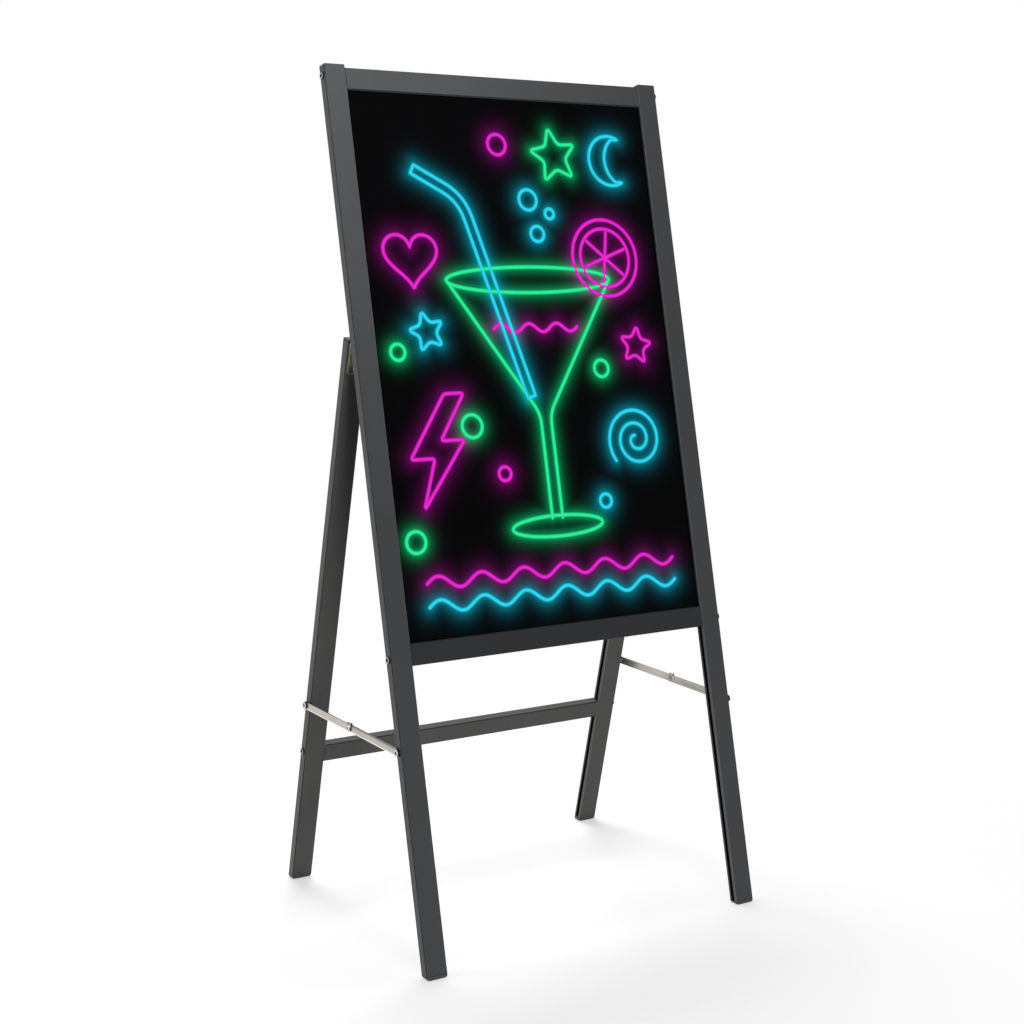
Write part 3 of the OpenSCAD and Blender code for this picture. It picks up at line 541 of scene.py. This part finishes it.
def paint(names, material):
    """Gives carried-over solids one finish."""
    for name in names:
        materials = NODES[name].data.materials
        if not materials:
            materials.append(material)
        for index in range(len(materials)):
            materials[index] = material


def both(*stems):
    """Left and right names of paired pieces."""
    return [f"{side}_{stem}" for stem in stems for side in SIDES]


# The leaning frames

JOINTS = {joint["child"]: joint for joint in frame["joints"]}
# The button's travel is square to the front frame
_, TRAVEL_Y, TRAVEL_Z = JOINTS["button"]["axis"]
FRONT_LEAN = math.atan2(TRAVEL_Z, -TRAVEL_Y)
# The rear frame folds through both leans, and leans the other way
REAR_LEAN = FRONT_LEAN - math.radians(JOINTS["rear_frame"]["range_deg"][1])


def leaned_point(u, v, w, lean=FRONT_LEAN):
    """Point at u across a leaning frame, v up its slope and w square to its face."""
    sine, cosine = math.sin(lean), math.cos(lean)
    return Vector((u, v * sine + w * cosine, v * cosine - w * sine))


def leaned_box(node, lean=FRONT_LEAN):
    """Lowest and highest u, v, w of a node in a leaning frame's directions."""
    points = np.array([vertex.co for vertex in NODES[node].data.vertices])
    sine, cosine = math.sin(lean), math.cos(lean)
    x, y, z = points.T
    local = np.stack([x, y * sine + z * cosine, y * cosine - z * sine], axis=1)
    return local.min(0), local.max(0)


def add_mesh(name, points, faces, material):
    """A new mesh object in the scene."""
    mesh = bpy.data.meshes.new(name)
    mesh.from_pydata([tuple(p) for p in points], [], faces)
    mesh.materials.append(material)
    mesh.update()
    piece = bpy.data.objects.new(name, mesh)
    bpy.context.scene.collection.objects.link(piece)
    return piece


# Feet


def leg_section(low, high, radius):
    """Points around a leg's section with round corners, from its lowest and highest u and w."""
    points = []
    for quarter, (u, w) in enumerate(((1, 1), (0, 1), (0, 0), (1, 0))):
        middle = np.where((u, w), high - radius, low + radius)
        angles = np.radians(90 * quarter + np.linspace(0, 90, 5))
        points += [middle + radius * np.array((math.cos(a), math.sin(a))) for a in angles]
    return np.array(points)


def round_over(height, radius):
    """How far an edge that is rounded below stands back at a height above the floor."""
    under = max(radius - height, 0)
    return radius - math.sqrt(radius**2 - under**2)


def foot_mesh(side, end, lean, look):
    """Vertices and faces of a foot: flat on the floor, flush with its leg, with round lower corners."""
    levels = 10
    low, high = leaned_box(f"{side}_{end}_leg", lean)
    cut = low[1]
    low, high = low[[0, 2]], high[[0, 2]]
    middle, half = (low + high) / 2, (high - low) / 2
    near, far = (corner.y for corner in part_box(f"{side}_{end}_foot"))
    section = leg_section(low, high, look.leg_corner)
    tops = [leaned_point(u, cut, w, lean).z for u, w in section]
    points = []
    for level in range(levels + 1):
        for place, top in zip(section, tops):
            z = top * level / levels
            back = np.array((round_over(z, look.foot_corner), round_over(z, look.foot_edge)))
            u, w = middle + (place - middle) * (1 - back / half)
            y = leaned_point(u, (z + w * math.sin(lean)) / math.cos(lean), w, lean).y
            points.append((u, min(max(y, near), far), z))
    count = len(section)
    faces = [tuple(reversed(range(count))), tuple(levels * count + k for k in range(count))]
    for lower in range(0, levels * count, count):
        for k in range(count):
            n = (k + 1) % count
            faces.append((lower + k, lower + n, lower + count + n, lower + count + k))
    return points, faces


# Strokes of the drawing, as points in millimetres from the middle of the opening's lower edge


def arc(x, y, rx, ry, start=0, end=360, count=72):
    """Points along an ellipse's arc, in degrees."""
    angles = np.radians(np.linspace(start, end, count))
    return np.stack([x + rx * np.cos(angles), y + ry * np.sin(angles)], axis=1)


def ring(x, y, rx, ry=None):
    """A whole ellipse as a closed stroke."""
    return arc(x, y, rx, rx if ry is None else ry)[:-1], True


def soften(points, closed, radius):
    """Rounds the corners of a line of points with short curves."""
    points = np.asarray(points, float)
    count = len(points)
    # A curve takes at most this share of each side
    most = 0.45
    made = []
    for index, corner in enumerate(points):
        if not closed and index in (0, count - 1):
            made.append(corner)
            continue
        sides = points[index - 1] - corner, points[(index + 1) % count] - corner
        start, end = (corner + side * min(radius / np.linalg.norm(side), most) for side in sides)
        for t in np.linspace(0, 1, 7):
            made.append((1 - t) ** 2 * start + 2 * t * (1 - t) * corner + t**2 * end)
    return np.array(made)


def star(x, y, size, turn=0):
    """A five-pointed star as a closed stroke."""
    order = np.arange(10)
    angles = np.radians(90 + turn + 36 * order)
    waist = 0.46 * size
    radii = np.where(order % 2 == 0, size, waist)
    corners = np.stack([x + radii * np.cos(angles), y + radii * np.sin(angles)], axis=1)
    return soften(corners, True, 5), True


def wave(x0, x1, y, height, pitch):
    """A wavy open stroke."""
    x = np.arange(x0, x1 + 1, 2)
    return np.stack([x, y + height * np.sin(2 * np.pi * (x - x0) / pitch)], axis=1), False


def spiral(x, y, size, turns):
    """An open stroke that winds outwards."""
    t = np.linspace(0.12, 1, int(40 * turns))
    angles = 2 * np.pi * turns * t
    return np.stack([x + size * t * np.cos(angles), y + size * t * np.sin(angles)], axis=1), False


def heart(x, y, size):
    """A heart as a closed stroke."""
    t = np.linspace(0, 2 * np.pi, 80)[:-1]
    across = 16 * np.sin(t) ** 3
    up = 13 * np.cos(t) - 5 * np.cos(2 * t) - 2 * np.cos(3 * t) - np.cos(4 * t)
    return np.stack([x + size * across / 16, y + size * up / 16], axis=1), True


def crescent(x, y, size):
    """A crescent moon as a closed stroke."""
    outer = arc(x, y, size, size, 60, 300, 48)
    inner = arc(x + 0.62 * size, y, 0.872 * size, 0.992 * size, 241, 119, 40)
    return np.concatenate([outer, inner]), True


def bolt(x, y, height):
    """A zigzag flash as a closed stroke."""
    h = height / 10
    corners = [(1.4, 10), (-2.6, 4.4), (-0.2, 4.4), (-1.8, 0), (3, 5.9), (0.6, 5.9), (3.4, 10)]
    return soften([(x + h * a, y + h * b) for a, b in corners], True, 4), True


def glass(x, foot, stem, rim, half):
    """A stemmed glass: foot at one height, bowl from stem to rim, with its half width."""
    neck = 7
    sides = []
    for s in (-1, 1):
        line = [(x + s * half, rim), (x + s * neck, stem), (x + s * neck, foot + 10)]
        sides.append((soften(line, False, 12), False))
    return [ring(x, rim, half, 15), ring(x, foot, 62, 12), *sides]


def slice_of_fruit(x, y, size):
    """A round slice: rind, flesh and the lines between its segments."""
    spokes = [
        (np.array([(x, y), (x + 0.66 * size * math.cos(a), y + 0.66 * size * math.sin(a))]), False)
        for a in np.radians(np.arange(20, 380, 60))
    ]
    return [ring(x, y, size), ring(x, y, 0.76 * size), *spokes]


def straw(points, width):
    """Two lines side by side along a bent straw."""
    line = soften(points, False, 24)
    along = np.gradient(line, axis=0)
    along /= np.linalg.norm(along, axis=1)[:, None]
    across = np.stack([-along[:, 1], along[:, 0]], axis=1)
    outline = np.concatenate([line + across * width / 2, (line - across * width / 2)[::-1]])
    return outline, True


def drawing():
    """The strokes of each ink."""
    return {
        "green": [
            *glass(12, 112, 242, 398, 112),
            star(66, 545, 34, 8),
            ring(-88, 232, 13),
            ring(-172, 318, 9),
            ring(98, 292, 10),
            ring(-176, 108, 12),
        ],
        "magenta": [
            wave(-44, 70, 342, 5, 38),
            *slice_of_fruit(122, 424, 46),
            heart(-142, 424, 34),
            bolt(-138, 142, 128),
            star(152, 318, 24, -10),
            wave(-168, 168, 62, 7, 56),
            ring(-52, 176, 8),
            ring(-12, 556, 12),
        ],
        "cyan": [
            straw([(-4, 262), (-68, 492), (-128, 524)], 11),
            crescent(146, 542, 30),
            star(-132, 340, 24, 12),
            spiral(136, 206, 40, 2.6),
            wave(-168, 168, 36, 7, 56),
            ring(30, 452, 9),
            ring(50, 476, 6),
            ring(22, 492, 12),
            ring(82, 136, 8),
        ],
    }


def even_points(points, closed, step):
    """Points at even spacing along a stroke."""
    line = np.vstack([points, points[:1]]) if closed else np.asarray(points, float)
    run = np.concatenate([[0], np.cumsum(np.linalg.norm(np.diff(line, axis=0), axis=1))])
    count = max(8, int(round(run[-1] / step)))
    marks = np.linspace(0, run[-1], count + 1)
    if closed:
        marks = marks[:-1]
    return np.stack([np.interp(marks, run, line[:, axis]) for axis in (0, 1)], axis=1)


def strand(points, closed, half):
    """Centre points, unit normals and half widths of a stroke, with round ends on an open one."""
    if closed:
        along = np.roll(points, -1, axis=0) - np.roll(points, 1, axis=0)
    else:
        along = np.gradient(points, axis=0)
    along /= np.linalg.norm(along, axis=1)[:, None]
    widths = np.full(len(points), half)
    if not closed:
        # Angles of the points around a round end
        turns = np.radians((15, 35, 55, 75))
        head = [points[0] - along[0] * half * math.cos(t) for t in turns]
        tail = [points[-1] + along[-1] * half * math.cos(t) for t in turns[::-1]]
        narrow = half * np.sin(turns)
        points = np.vstack([head, points, tail])
        first, last = (np.tile(end, (len(turns), 1)) for end in (along[0], along[-1]))
        along = np.vstack([first, along, last])
        widths = np.concatenate([narrow, widths, narrow[::-1]])
    return points, np.stack([-along[:, 1], along[:, 0]], axis=1), widths


# Crowned section of a stroke: share of the half width, share of the height
SECTION = (
    (-1, 0), (-0.84, 0.64), (-0.6, 0.86), (-0.32, 0.97), (0, 1),
    (0.32, 0.97), (0.6, 0.86), (0.84, 0.64), (1, 0),
)


def stroke_mesh(strokes, origin, half, crown, depth, step):
    """Vertices and faces of crowned strokes that lie on the board's face."""
    vertices, faces = [], []
    across_o, up_o, face_o = origin
    size = len(SECTION)
    for line, closed in strokes:
        points, normals, widths = strand(even_points(np.asarray(line) * MM, closed, step), closed, half)
        first = len(vertices)
        for point, normal, width in zip(points, normals, widths):
            for out, rise in SECTION:
                u, v = point + normal * width * out
                height = depth + crown * rise * width / half
                vertices.append(leaned_point(across_o + u, up_o + v, face_o - height))
        rings = len(points)
        for index in range(rings if closed else rings - 1):
            here, there = first + index * size, first + (index + 1) % rings * size
            for k in range(size):
                n = (k + 1) % size
                faces.append((here + k, there + k, there + n, here + n))
        if not closed:
            last = first + (rings - 1) * size
            faces.append(tuple(first + k for k in range(size)))
            faces.append(tuple(last + k for k in reversed(range(size))))
    return vertices, faces


def board_origin():
    """Middle of the opening's lower edge, on the panel's face."""
    left = leaned_box("left_front_leg")[1][0]
    right = leaned_box("right_front_leg")[0][0]
    return (left + right) / 2, leaned_box("bottom_rail")[1][1], leaned_box("writing_panel")[0][2]


def board_mesh(cell):
    """Places across the board's face, then its vertices and faces: a fine grid in front and a flat back."""
    low, high = leaned_box("writing_panel")
    columns, rows = (int(round(side / cell)) for side in (high - low)[:2])
    across = np.linspace(low[0], high[0], columns + 1)
    up = np.linspace(low[1], high[1], rows + 1)
    flat = np.array([(u, v) for v in up for u in across])
    grid = np.arange(len(flat)).reshape(rows + 1, columns + 1)
    corners = grid[:-1, :-1], grid[:-1, 1:], grid[1:, 1:], grid[1:, :-1]
    faces = np.stack(corners, axis=2).reshape(-1, 4).tolist()
    # Around the face's edge and back to its first corner
    rim = [*grid[0, :-1], *grid[:-1, -1], *grid[-1, :0:-1], *grid[:0:-1, 0]]
    behind = range(len(flat), len(flat) + len(rim))
    for k, index in enumerate(rim):
        n = (k + 1) % len(rim)
        faces.append((rim[n], index, behind[k], behind[n]))
    faces.append(tuple(reversed(behind)))
    points = [leaned_point(u, v, low[2]) for u, v in flat]
    points += [leaned_point(*flat[index], high[2]) for index in rim]
    return flat, points, faces


def ink_finish(name, rgb):
    """Lit ink: brightest along its middle, with a slight unevenness from the hand that drew it."""
    tree = surface(name, specular=0.02)
    tree.feed("Base Color", (*(c * 0.02 for c in rgb), 1))
    tree.feed("Roughness", 0.6)
    tree.feed("Emission Strength", 1)
    uneven = tree.tint((1, 1, 1), 0.06, 130)
    tree.feed("Emission Color", tree.vector("MULTIPLY", tree.stored("core"), uneven))
    return tree.owner


def board_finish(name, look):
    """Dark board that shows the glow stored at its points."""
    tree = surface(name, specular=0.02)
    tree.feed("Base Color", tree.tint(look.dark, 0.2, 30))
    smears = tree.noise(14, 6, (1, 1, 0.4), FRONT_LEAN)
    tree.rough(smears, 0.29, 0.07)
    tree.feed("Emission Strength", 1)
    tree.feed("Emission Color", tree.stored("glow"))
    return tree.owner


def beside(rgb):
    """Colour of the glow beside an ink: the ink's without its share of white."""
    return np.array(rgb) - min(rgb)


def glow_at(points, strokes, look):
    """Glow of the board at points across its face, from the nearest stroke of each ink."""
    total = np.zeros((len(points), 3))
    half = look.stroke / 2
    for (ink, lines), halo, glow in zip(strokes.items(), look.halo, look.glow):
        marks = np.vstack([even_points(np.asarray(line) * MM, closed, look.step) for line, closed in lines])
        nearest = KDTree(len(marks))
        for index, mark in enumerate(marks):
            nearest.insert((*mark, 0), index)
        nearest.balance()
        away = np.array([nearest.find((*p, 0))[2] for p in points])
        level = glow * np.exp(-np.maximum(away - half, 0) / halo)
        total += level[:, None] * beside(getattr(look, ink))
    return total


def stroke_light(rgb, glow, look):
    """Light across a stroke's section, from its core to the glow at its edges."""
    away = np.array([out for out, _ in SECTION]) * look.stroke / 2
    core = np.exp(-((away / look.core) ** 2) / 2)
    return core[:, None] * np.array(rgb) + (1 - core[:, None]) * glow * beside(rgb)


def store_light(piece, layer, light):
    """Stores linear colours at a mesh's points."""
    filled = np.ones((len(light), 4))
    filled[:, :3] = light
    piece.data.color_attributes.new(layer, "FLOAT_COLOR", "POINT").data.foreach_set("color", filled.ravel())


# Operators


class STAND_OT_frame(Operator):
    """Gives the legs, rails and crossbar their satin coat, with painted shade and painted highlights."""

    bl_idname = "stand.frame"
    bl_label = "Frame"

    def execute(self, context):
        look = context.scene.stand_finish
        # The rear legs take the coat painted lighter as light
        for end, rgb, lean in (("front", look.coat, FRONT_LEAN), ("rear", look.lit_rear_coat, REAR_LEAN)):
            box = [(float(u), float(w)) for u, _, w in leaned_box(f"right_{end}_leg", lean)]
            coat = coat_finish(f"satin coat, {end} legs", rgb, look.coat_gloss, lean, box)
            paint(both(f"{end}_leg"), coat)
        bars = (
            ("top_rail", look.coat, FRONT_LEAN),
            # The bottom rail's coat is painted darker as shade
            ("bottom_rail", look.shaded_rail_coat, FRONT_LEAN),
            # The crossbar takes the coat painted lighter as light
            ("rear_crossbar", look.lit_rear_coat, REAR_LEAN),
        )
        for node, rgb, lean in bars:
            coat = coat_finish(f"satin coat, {node}", rgb, look.coat_gloss, lean, along=(5, 700, 700))
            paint((node,), coat)
        return {"FINISHED"}


class STAND_OT_caps(Operator):
    """Gives the caps of the legs their moulded finish."""

    bl_idname = "stand.caps"
    bl_label = "Caps"

    def execute(self, context):
        look = context.scene.stand_finish
        paint(both("top_cap"), moulded_finish("moulded cap", look.coat, 0.5))
        paint(both("rear_cap"), moulded_finish("moulded rear cap", look.rear_cap, 0.5))
        return {"FINISHED"}


class STAND_OT_feet(Operator):
    """Makes the moulded feet in place of the plain ones."""

    bl_idname = "stand.feet"
    bl_label = "Feet"

    def execute(self, context):
        look = context.scene.stand_finish
        # The rear feet take the coat painted lighter as light
        kinds = (("front", look.coat, FRONT_LEAN, 0), ("rear", look.lit_rear_coat, REAR_LEAN, look.rear_dark_height))
        # The rear feet are darker up to a given height above the floor
        for end, rgb, lean, dark_height in kinds:
            cut = float(leaned_box(f"left_{end}_leg", lean)[0][1])
            finish = foot_finish(f"moulded {end} foot", rgb, look.seam, lean, cut, dark_height)
            for side in SIDES:
                foot = add_mesh(f"{side}_{end}_moulded_foot", *foot_mesh(side, end, lean, look), finish)
                foot.data.shade_smooth()
                foot.data.set_sharp_from_angle(angle=SHARP)
                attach(foot, f"{end}_frame")
                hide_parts(f"{side}_{end}_foot")
        return {"FINISHED"}


class STAND_OT_stays(Operator):
    """Gives the folding stays, their rivets and their bolts a bright plating, with painted shade and painted
    highlights along their edges and rims.
    """

    bl_idname = "stand.stays"
    bl_label = "Stays and bolts"

    def execute(self, context):
        look = context.scene.stand_finish
        # Painted shade and highlight along the stays' upper and lower edges, and black as painted shade on
        # their cut edges
        painted_borders = (look.zinc_upper, look.zinc_lower, look.black)
        # The rear links take the plating painted lighter as light
        for stem, rgb in (("front_link", look.zinc), ("rear_link", look.rear_zinc)):
            paint(both(stem), link_finish(f"zinc strip, {stem}", f"left_{stem}", rgb, *painted_borders))
        for stem in ("stay_rivet", "stay_rivet_tail"):
            # Black stands for the painted shade in the rivets' centres and at their rims
            finish = rivet_finish(f"zinc, {stem}", f"left_{stem}", look.rivet, look.black)
            paint(both(stem), finish)
        # Painted highlight on the bolts' rims and painted shade on their sides and sockets
        colours = (look.bolt, look.bolt_highlight, look.wall_shade)
        for node in ("front_stay_bolts", "rear_stay_bolts"):
            paint((node,), head_finish(f"steel, {node}", node, head_reach(node), *colours, 1))
        seats = plated_finish("turned zinc", look.zinc, 0.28, (300, 300, 300))
        paint(("front_stay_nuts", "rear_stay_nuts", "rear_stay_spacers"), seats)
        return {"FINISHED"}


class STAND_OT_hinges(Operator):
    """Gives the hinges and their screws a plated steel with painted highlights on their edges."""

    bl_idname = "stand.hinges"
    bl_label = "Hinges"

    def execute(self, context):
        look = context.scene.stand_finish
        for end, lean in (("front", FRONT_LEAN), ("rear", REAR_LEAN)):
            stem = f"hinge_{end}_leaf"
            leaf = leaf_finish(f"steel, {stem}", f"right_{stem}", lean, look.hinge, look.hinge_rim)
            paint(both(stem), leaf)
            screws = leaf_screw_finish(f"steel, {end} leaf screws", lean, look.hinge, look.hinge_rim)
            paint((f"{end}_leaf_screws",), screws)
        # The pin is plated in the colour of the painted highlights
        paint(both("hinge_pin"), plated_finish("pin steel", look.hinge_rim, 0.3, (20, 260, 260)))
        return {"FINISHED"}


class STAND_OT_screws(Operator):
    """Gives the rail, crossbar and control box screws their dark steel, with painted highlights and painted
    shade on the rail and crossbar heads.
    """

    bl_idname = "stand.screws"
    bl_label = "Screws"

    def execute(self, context):
        look = context.scene.stand_finish
        reach = head_reach("crossbar_screws")
        # Painted highlight on the screws' rims and painted shade on their sides and sockets
        colours = (look.head, look.head_highlight, look.wall_shade)
        for node in ("rail_screws", "crossbar_screws"):
            paint((node,), head_finish(f"oxide, {node}", node, reach, *colours, 0.96))
        paint(("control_screws",), oxide_finish("black oxide", look.black))
        return {"FINISHED"}


class STAND_OT_lighting(Operator):
    """Finishes the light strips in the legs and their leads."""

    bl_idname = "stand.lighting"
    bl_label = "Light strips and leads"

    def execute(self, context):
        look = context.scene.stand_finish
        paint(both("led_strip"), moulded_finish("light strip", look.tape, 0.5, 500))
        paint(both("led_lead"), moulded_finish("lead insulation", look.lead, 0.45, 400))
        return {"FINISHED"}


class STAND_OT_control(Operator):
    """Finishes the control box, its button, its inlet and what it holds."""

    bl_idname = "stand.control"
    bl_label = "Control box"

    def execute(self, context):
        look = context.scene.stand_finish
        case = moulded_finish("control box", look.box, 0.55, 1100, 0.1 * MM)
        paint(("control_base", "control_housing"), case)
        paint(("key_switch", "power_inlet"), moulded_finish("inlet", look.inlet, 0.35, 600))
        paint(("control_board",), moulded_finish("solder mask", look.mask, 0.35, 700))
        paint(("mode_button",), moulded_finish("button", look.button, 0.5, 1300, 0.06 * MM))
        return {"FINISHED"}


class STAND_OT_board(Operator):
    """Makes the lit board in place of the plain panel, and finishes the sheet behind it."""

    bl_idname = "stand.board"
    bl_label = "Board"

    def execute(self, context):
        look = context.scene.board_look
        flat, points, faces = board_mesh(look.cell)
        board = add_mesh("writing_board", points, faces, board_finish("lit board", look))
        glow = np.zeros((len(points), 3))
        glow[:len(flat)] = glow_at(flat - board_origin()[:2], drawing(), look)
        store_light(board, "glow", glow)
        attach(board, "front_frame")
        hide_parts("writing_panel")
        backing = moulded_finish("backing sheet", context.scene.stand_finish.backing, 0.6, 260, 0.1 * MM)
        paint(("backing_sheet",), backing)
        return {"FINISHED"}


class STAND_OT_drawing(Operator):
    """Draws the board's design as crowned strokes of lit ink."""

    bl_idname = "stand.drawing"
    bl_label = "Drawing"

    def execute(self, context):
        look = context.scene.board_look
        for order, (ink, strokes) in enumerate(drawing().items()):
            rgb = tuple(getattr(look, ink))
            # Each ink lies a little above the one before
            depth = 0.1 * look.crown * order
            mesh = stroke_mesh(strokes, board_origin(), look.stroke / 2, look.crown, depth, look.step)
            piece = add_mesh(f"{ink}_ink", *mesh, ink_finish(f"{ink} ink", rgb))
            light = stroke_light(rgb, look.glow[order], look)
            store_light(piece, "core", np.tile(light, (len(mesh[0]) // len(SECTION), 1)))
            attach(piece, "front_frame")
        return {"FINISHED"}


# Width of the camera's sensor in millimetres
SENSOR = 36
# Place and target of each lamp, its size and the angle of its beam
LAMPS = {
    "key": ((-0.35, -1.1, 1.6), (-0.2, 0.25, 0.95), 0.4, 0.7),
    "front": ((-0.45, -2.4, 0.35), (0, 0.1, 0.3), 0.8, math.pi),
    "side": ((-2.3, 0.45, 0.6), (0, 0, 0.4), 1.2, math.pi),
    "back": ((0.2, 0.8, 2.4), (0, 0, 0.5), 1.2, math.pi),
}


class STAND_OT_stage(Operator):
    """Sets up the floor, the white surroundings, the lamps and the camera."""

    bl_idname = "stand.stage"
    bl_label = "Stage"

    def execute(self, context):
        look = context.scene.studio_look
        context.scene.view_settings.view_transform = "Standard"
        self.floor(look)
        self.surroundings(context, look)
        for name, settings in LAMPS.items():
            self.lamp(f"{name} lamp", getattr(look, f"{name}_lamp"), *settings)
        self.camera(context, look)
        return {"FINISHED"}

    @staticmethod
    def seen(tree):
        """1 for rays that show the surroundings: camera, glossy and transmission rays."""
        rays = tree.nodes.new("ShaderNodeLightPath").outputs
        mirrored = tree.math("MAXIMUM", rays["Is Glossy Ray"], rays["Is Transmission Ray"])
        return tree.math("MAXIMUM", rays["Is Camera Ray"], mirrored)

    def floor(self, look):
        """A pale floor that keeps the stand's shadow and is plain white farther off."""
        tree = surface("pale floor", specular=0)
        tree.feed("Roughness", 0.9)
        away = tree.diagonal(*tree.parts("Object")[:2])
        near = tree.remap(away, look.floor_near, look.floor_far, 1, 0)
        tree.feed("Base Color", tree.vector("MULTIPLY", tree.tint(look.floor, 0.01, 3), near))
        white = tree.remap(near, 0, 1, 1, look.floor_lift)
        level = tree.remap(self.seen(tree), 0, 1, look.bounce, 1)
        tree.feed("Emission Color", (1, 1, 1, 1))
        tree.feed("Emission Strength", tree.math("MULTIPLY", level, white))
        reach = 12
        corners = [(-reach, -reach, 0), (reach, -reach, 0), (reach, reach, 0), (-reach, reach, 0)]
        add_mesh("floor", corners, [(0, 1, 2, 3)], tree.owner)

    def surroundings(self, context, look):
        """White to the eye and in reflections, and a weaker light elsewhere."""
        context.scene.world = bpy.data.worlds.new("white studio")
        tree = Tree(context.scene.world, "Background")
        tree.feed("Color", (1, 1, 1, 1))
        tree.feed("Strength", tree.remap(self.seen(tree), 0, 1, look.ambient, 1))

    @staticmethod
    def lamp(name, watts, place, target, size, beam):
        """A square soft box aimed at a point, with the angle of its beam."""
        data = bpy.data.lights.new(name, "AREA")
        data.shape = "SQUARE"
        data.size = size
        data.energy = watts
        data.spread = beam
        lamp = bpy.data.objects.new(name, data)
        lamp.location = place
        lamp.rotation_euler = (Vector(target) - Vector(place)).to_track_quat("-Z", "Y").to_euler()
        bpy.context.scene.collection.objects.link(lamp)

    @staticmethod
    def camera(context, look):
        """The camera at the photographed viewing angle."""
        data = bpy.data.cameras.new("camera")
        data.sensor_width = SENSOR
        data.lens = look.lens
        camera = bpy.data.objects.new("camera", data)
        # A camera that isn't turned looks straight down
        turn = Matrix.Rotation(-look.yaw, 4, "Z") @ Matrix.Rotation(math.pi / 2 + look.pitch, 4, "X")
        camera.matrix_world = Matrix.Translation(look.eye) @ turn @ Matrix.Rotation(look.roll, 4, "Z")
        context.scene.collection.objects.link(camera)
        context.scene.camera = camera


class STAND_PT_panel(Panel):
    """Lists the stand's steps and settings in the sidebar."""

    bl_idname = "STAND_PT_panel"
    bl_label = "Sign stand"
    bl_space_type = "VIEW_3D"
    bl_region_type = "UI"
    bl_category = "Sign stand"

    def draw(self, context):
        for step in STEPS:
            self.layout.operator(step.bl_idname)
        for group in GROUPS:
            settings = getattr(context.scene, group)
            for name in settings.__annotations__:
                self.layout.prop(settings, name)


GROUPS = {"stand_finish": StandFinish, "board_look": BoardLook, "studio_look": StudioLook}
STEPS = (
    STAND_OT_stage,
    STAND_OT_frame,
    STAND_OT_caps,
    STAND_OT_feet,
    STAND_OT_stays,
    STAND_OT_hinges,
    STAND_OT_screws,
    STAND_OT_lighting,
    STAND_OT_control,
    STAND_OT_board,
    STAND_OT_drawing,
)
CLASSES = (*GROUPS.values(), *STEPS, STAND_PT_panel)


def register():
    """Registers the settings, the steps and the panel."""
    for cls in CLASSES:
        bpy.utils.register_class(cls)
    for name, group in GROUPS.items():
        setattr(bpy.types.Scene, name, PointerProperty(type=group))


def unregister():
    """Takes away what register added."""
    for name in GROUPS:
        delattr(bpy.types.Scene, name)
    for cls in reversed(CLASSES):
        bpy.utils.unregister_class(cls)


def main():
    """Runs every step."""
    register()
    for step in STEPS:
        area, name = step.bl_idname.split(".")
        getattr(getattr(bpy.ops, area), name)()


if __name__ == "__main__":
    main()
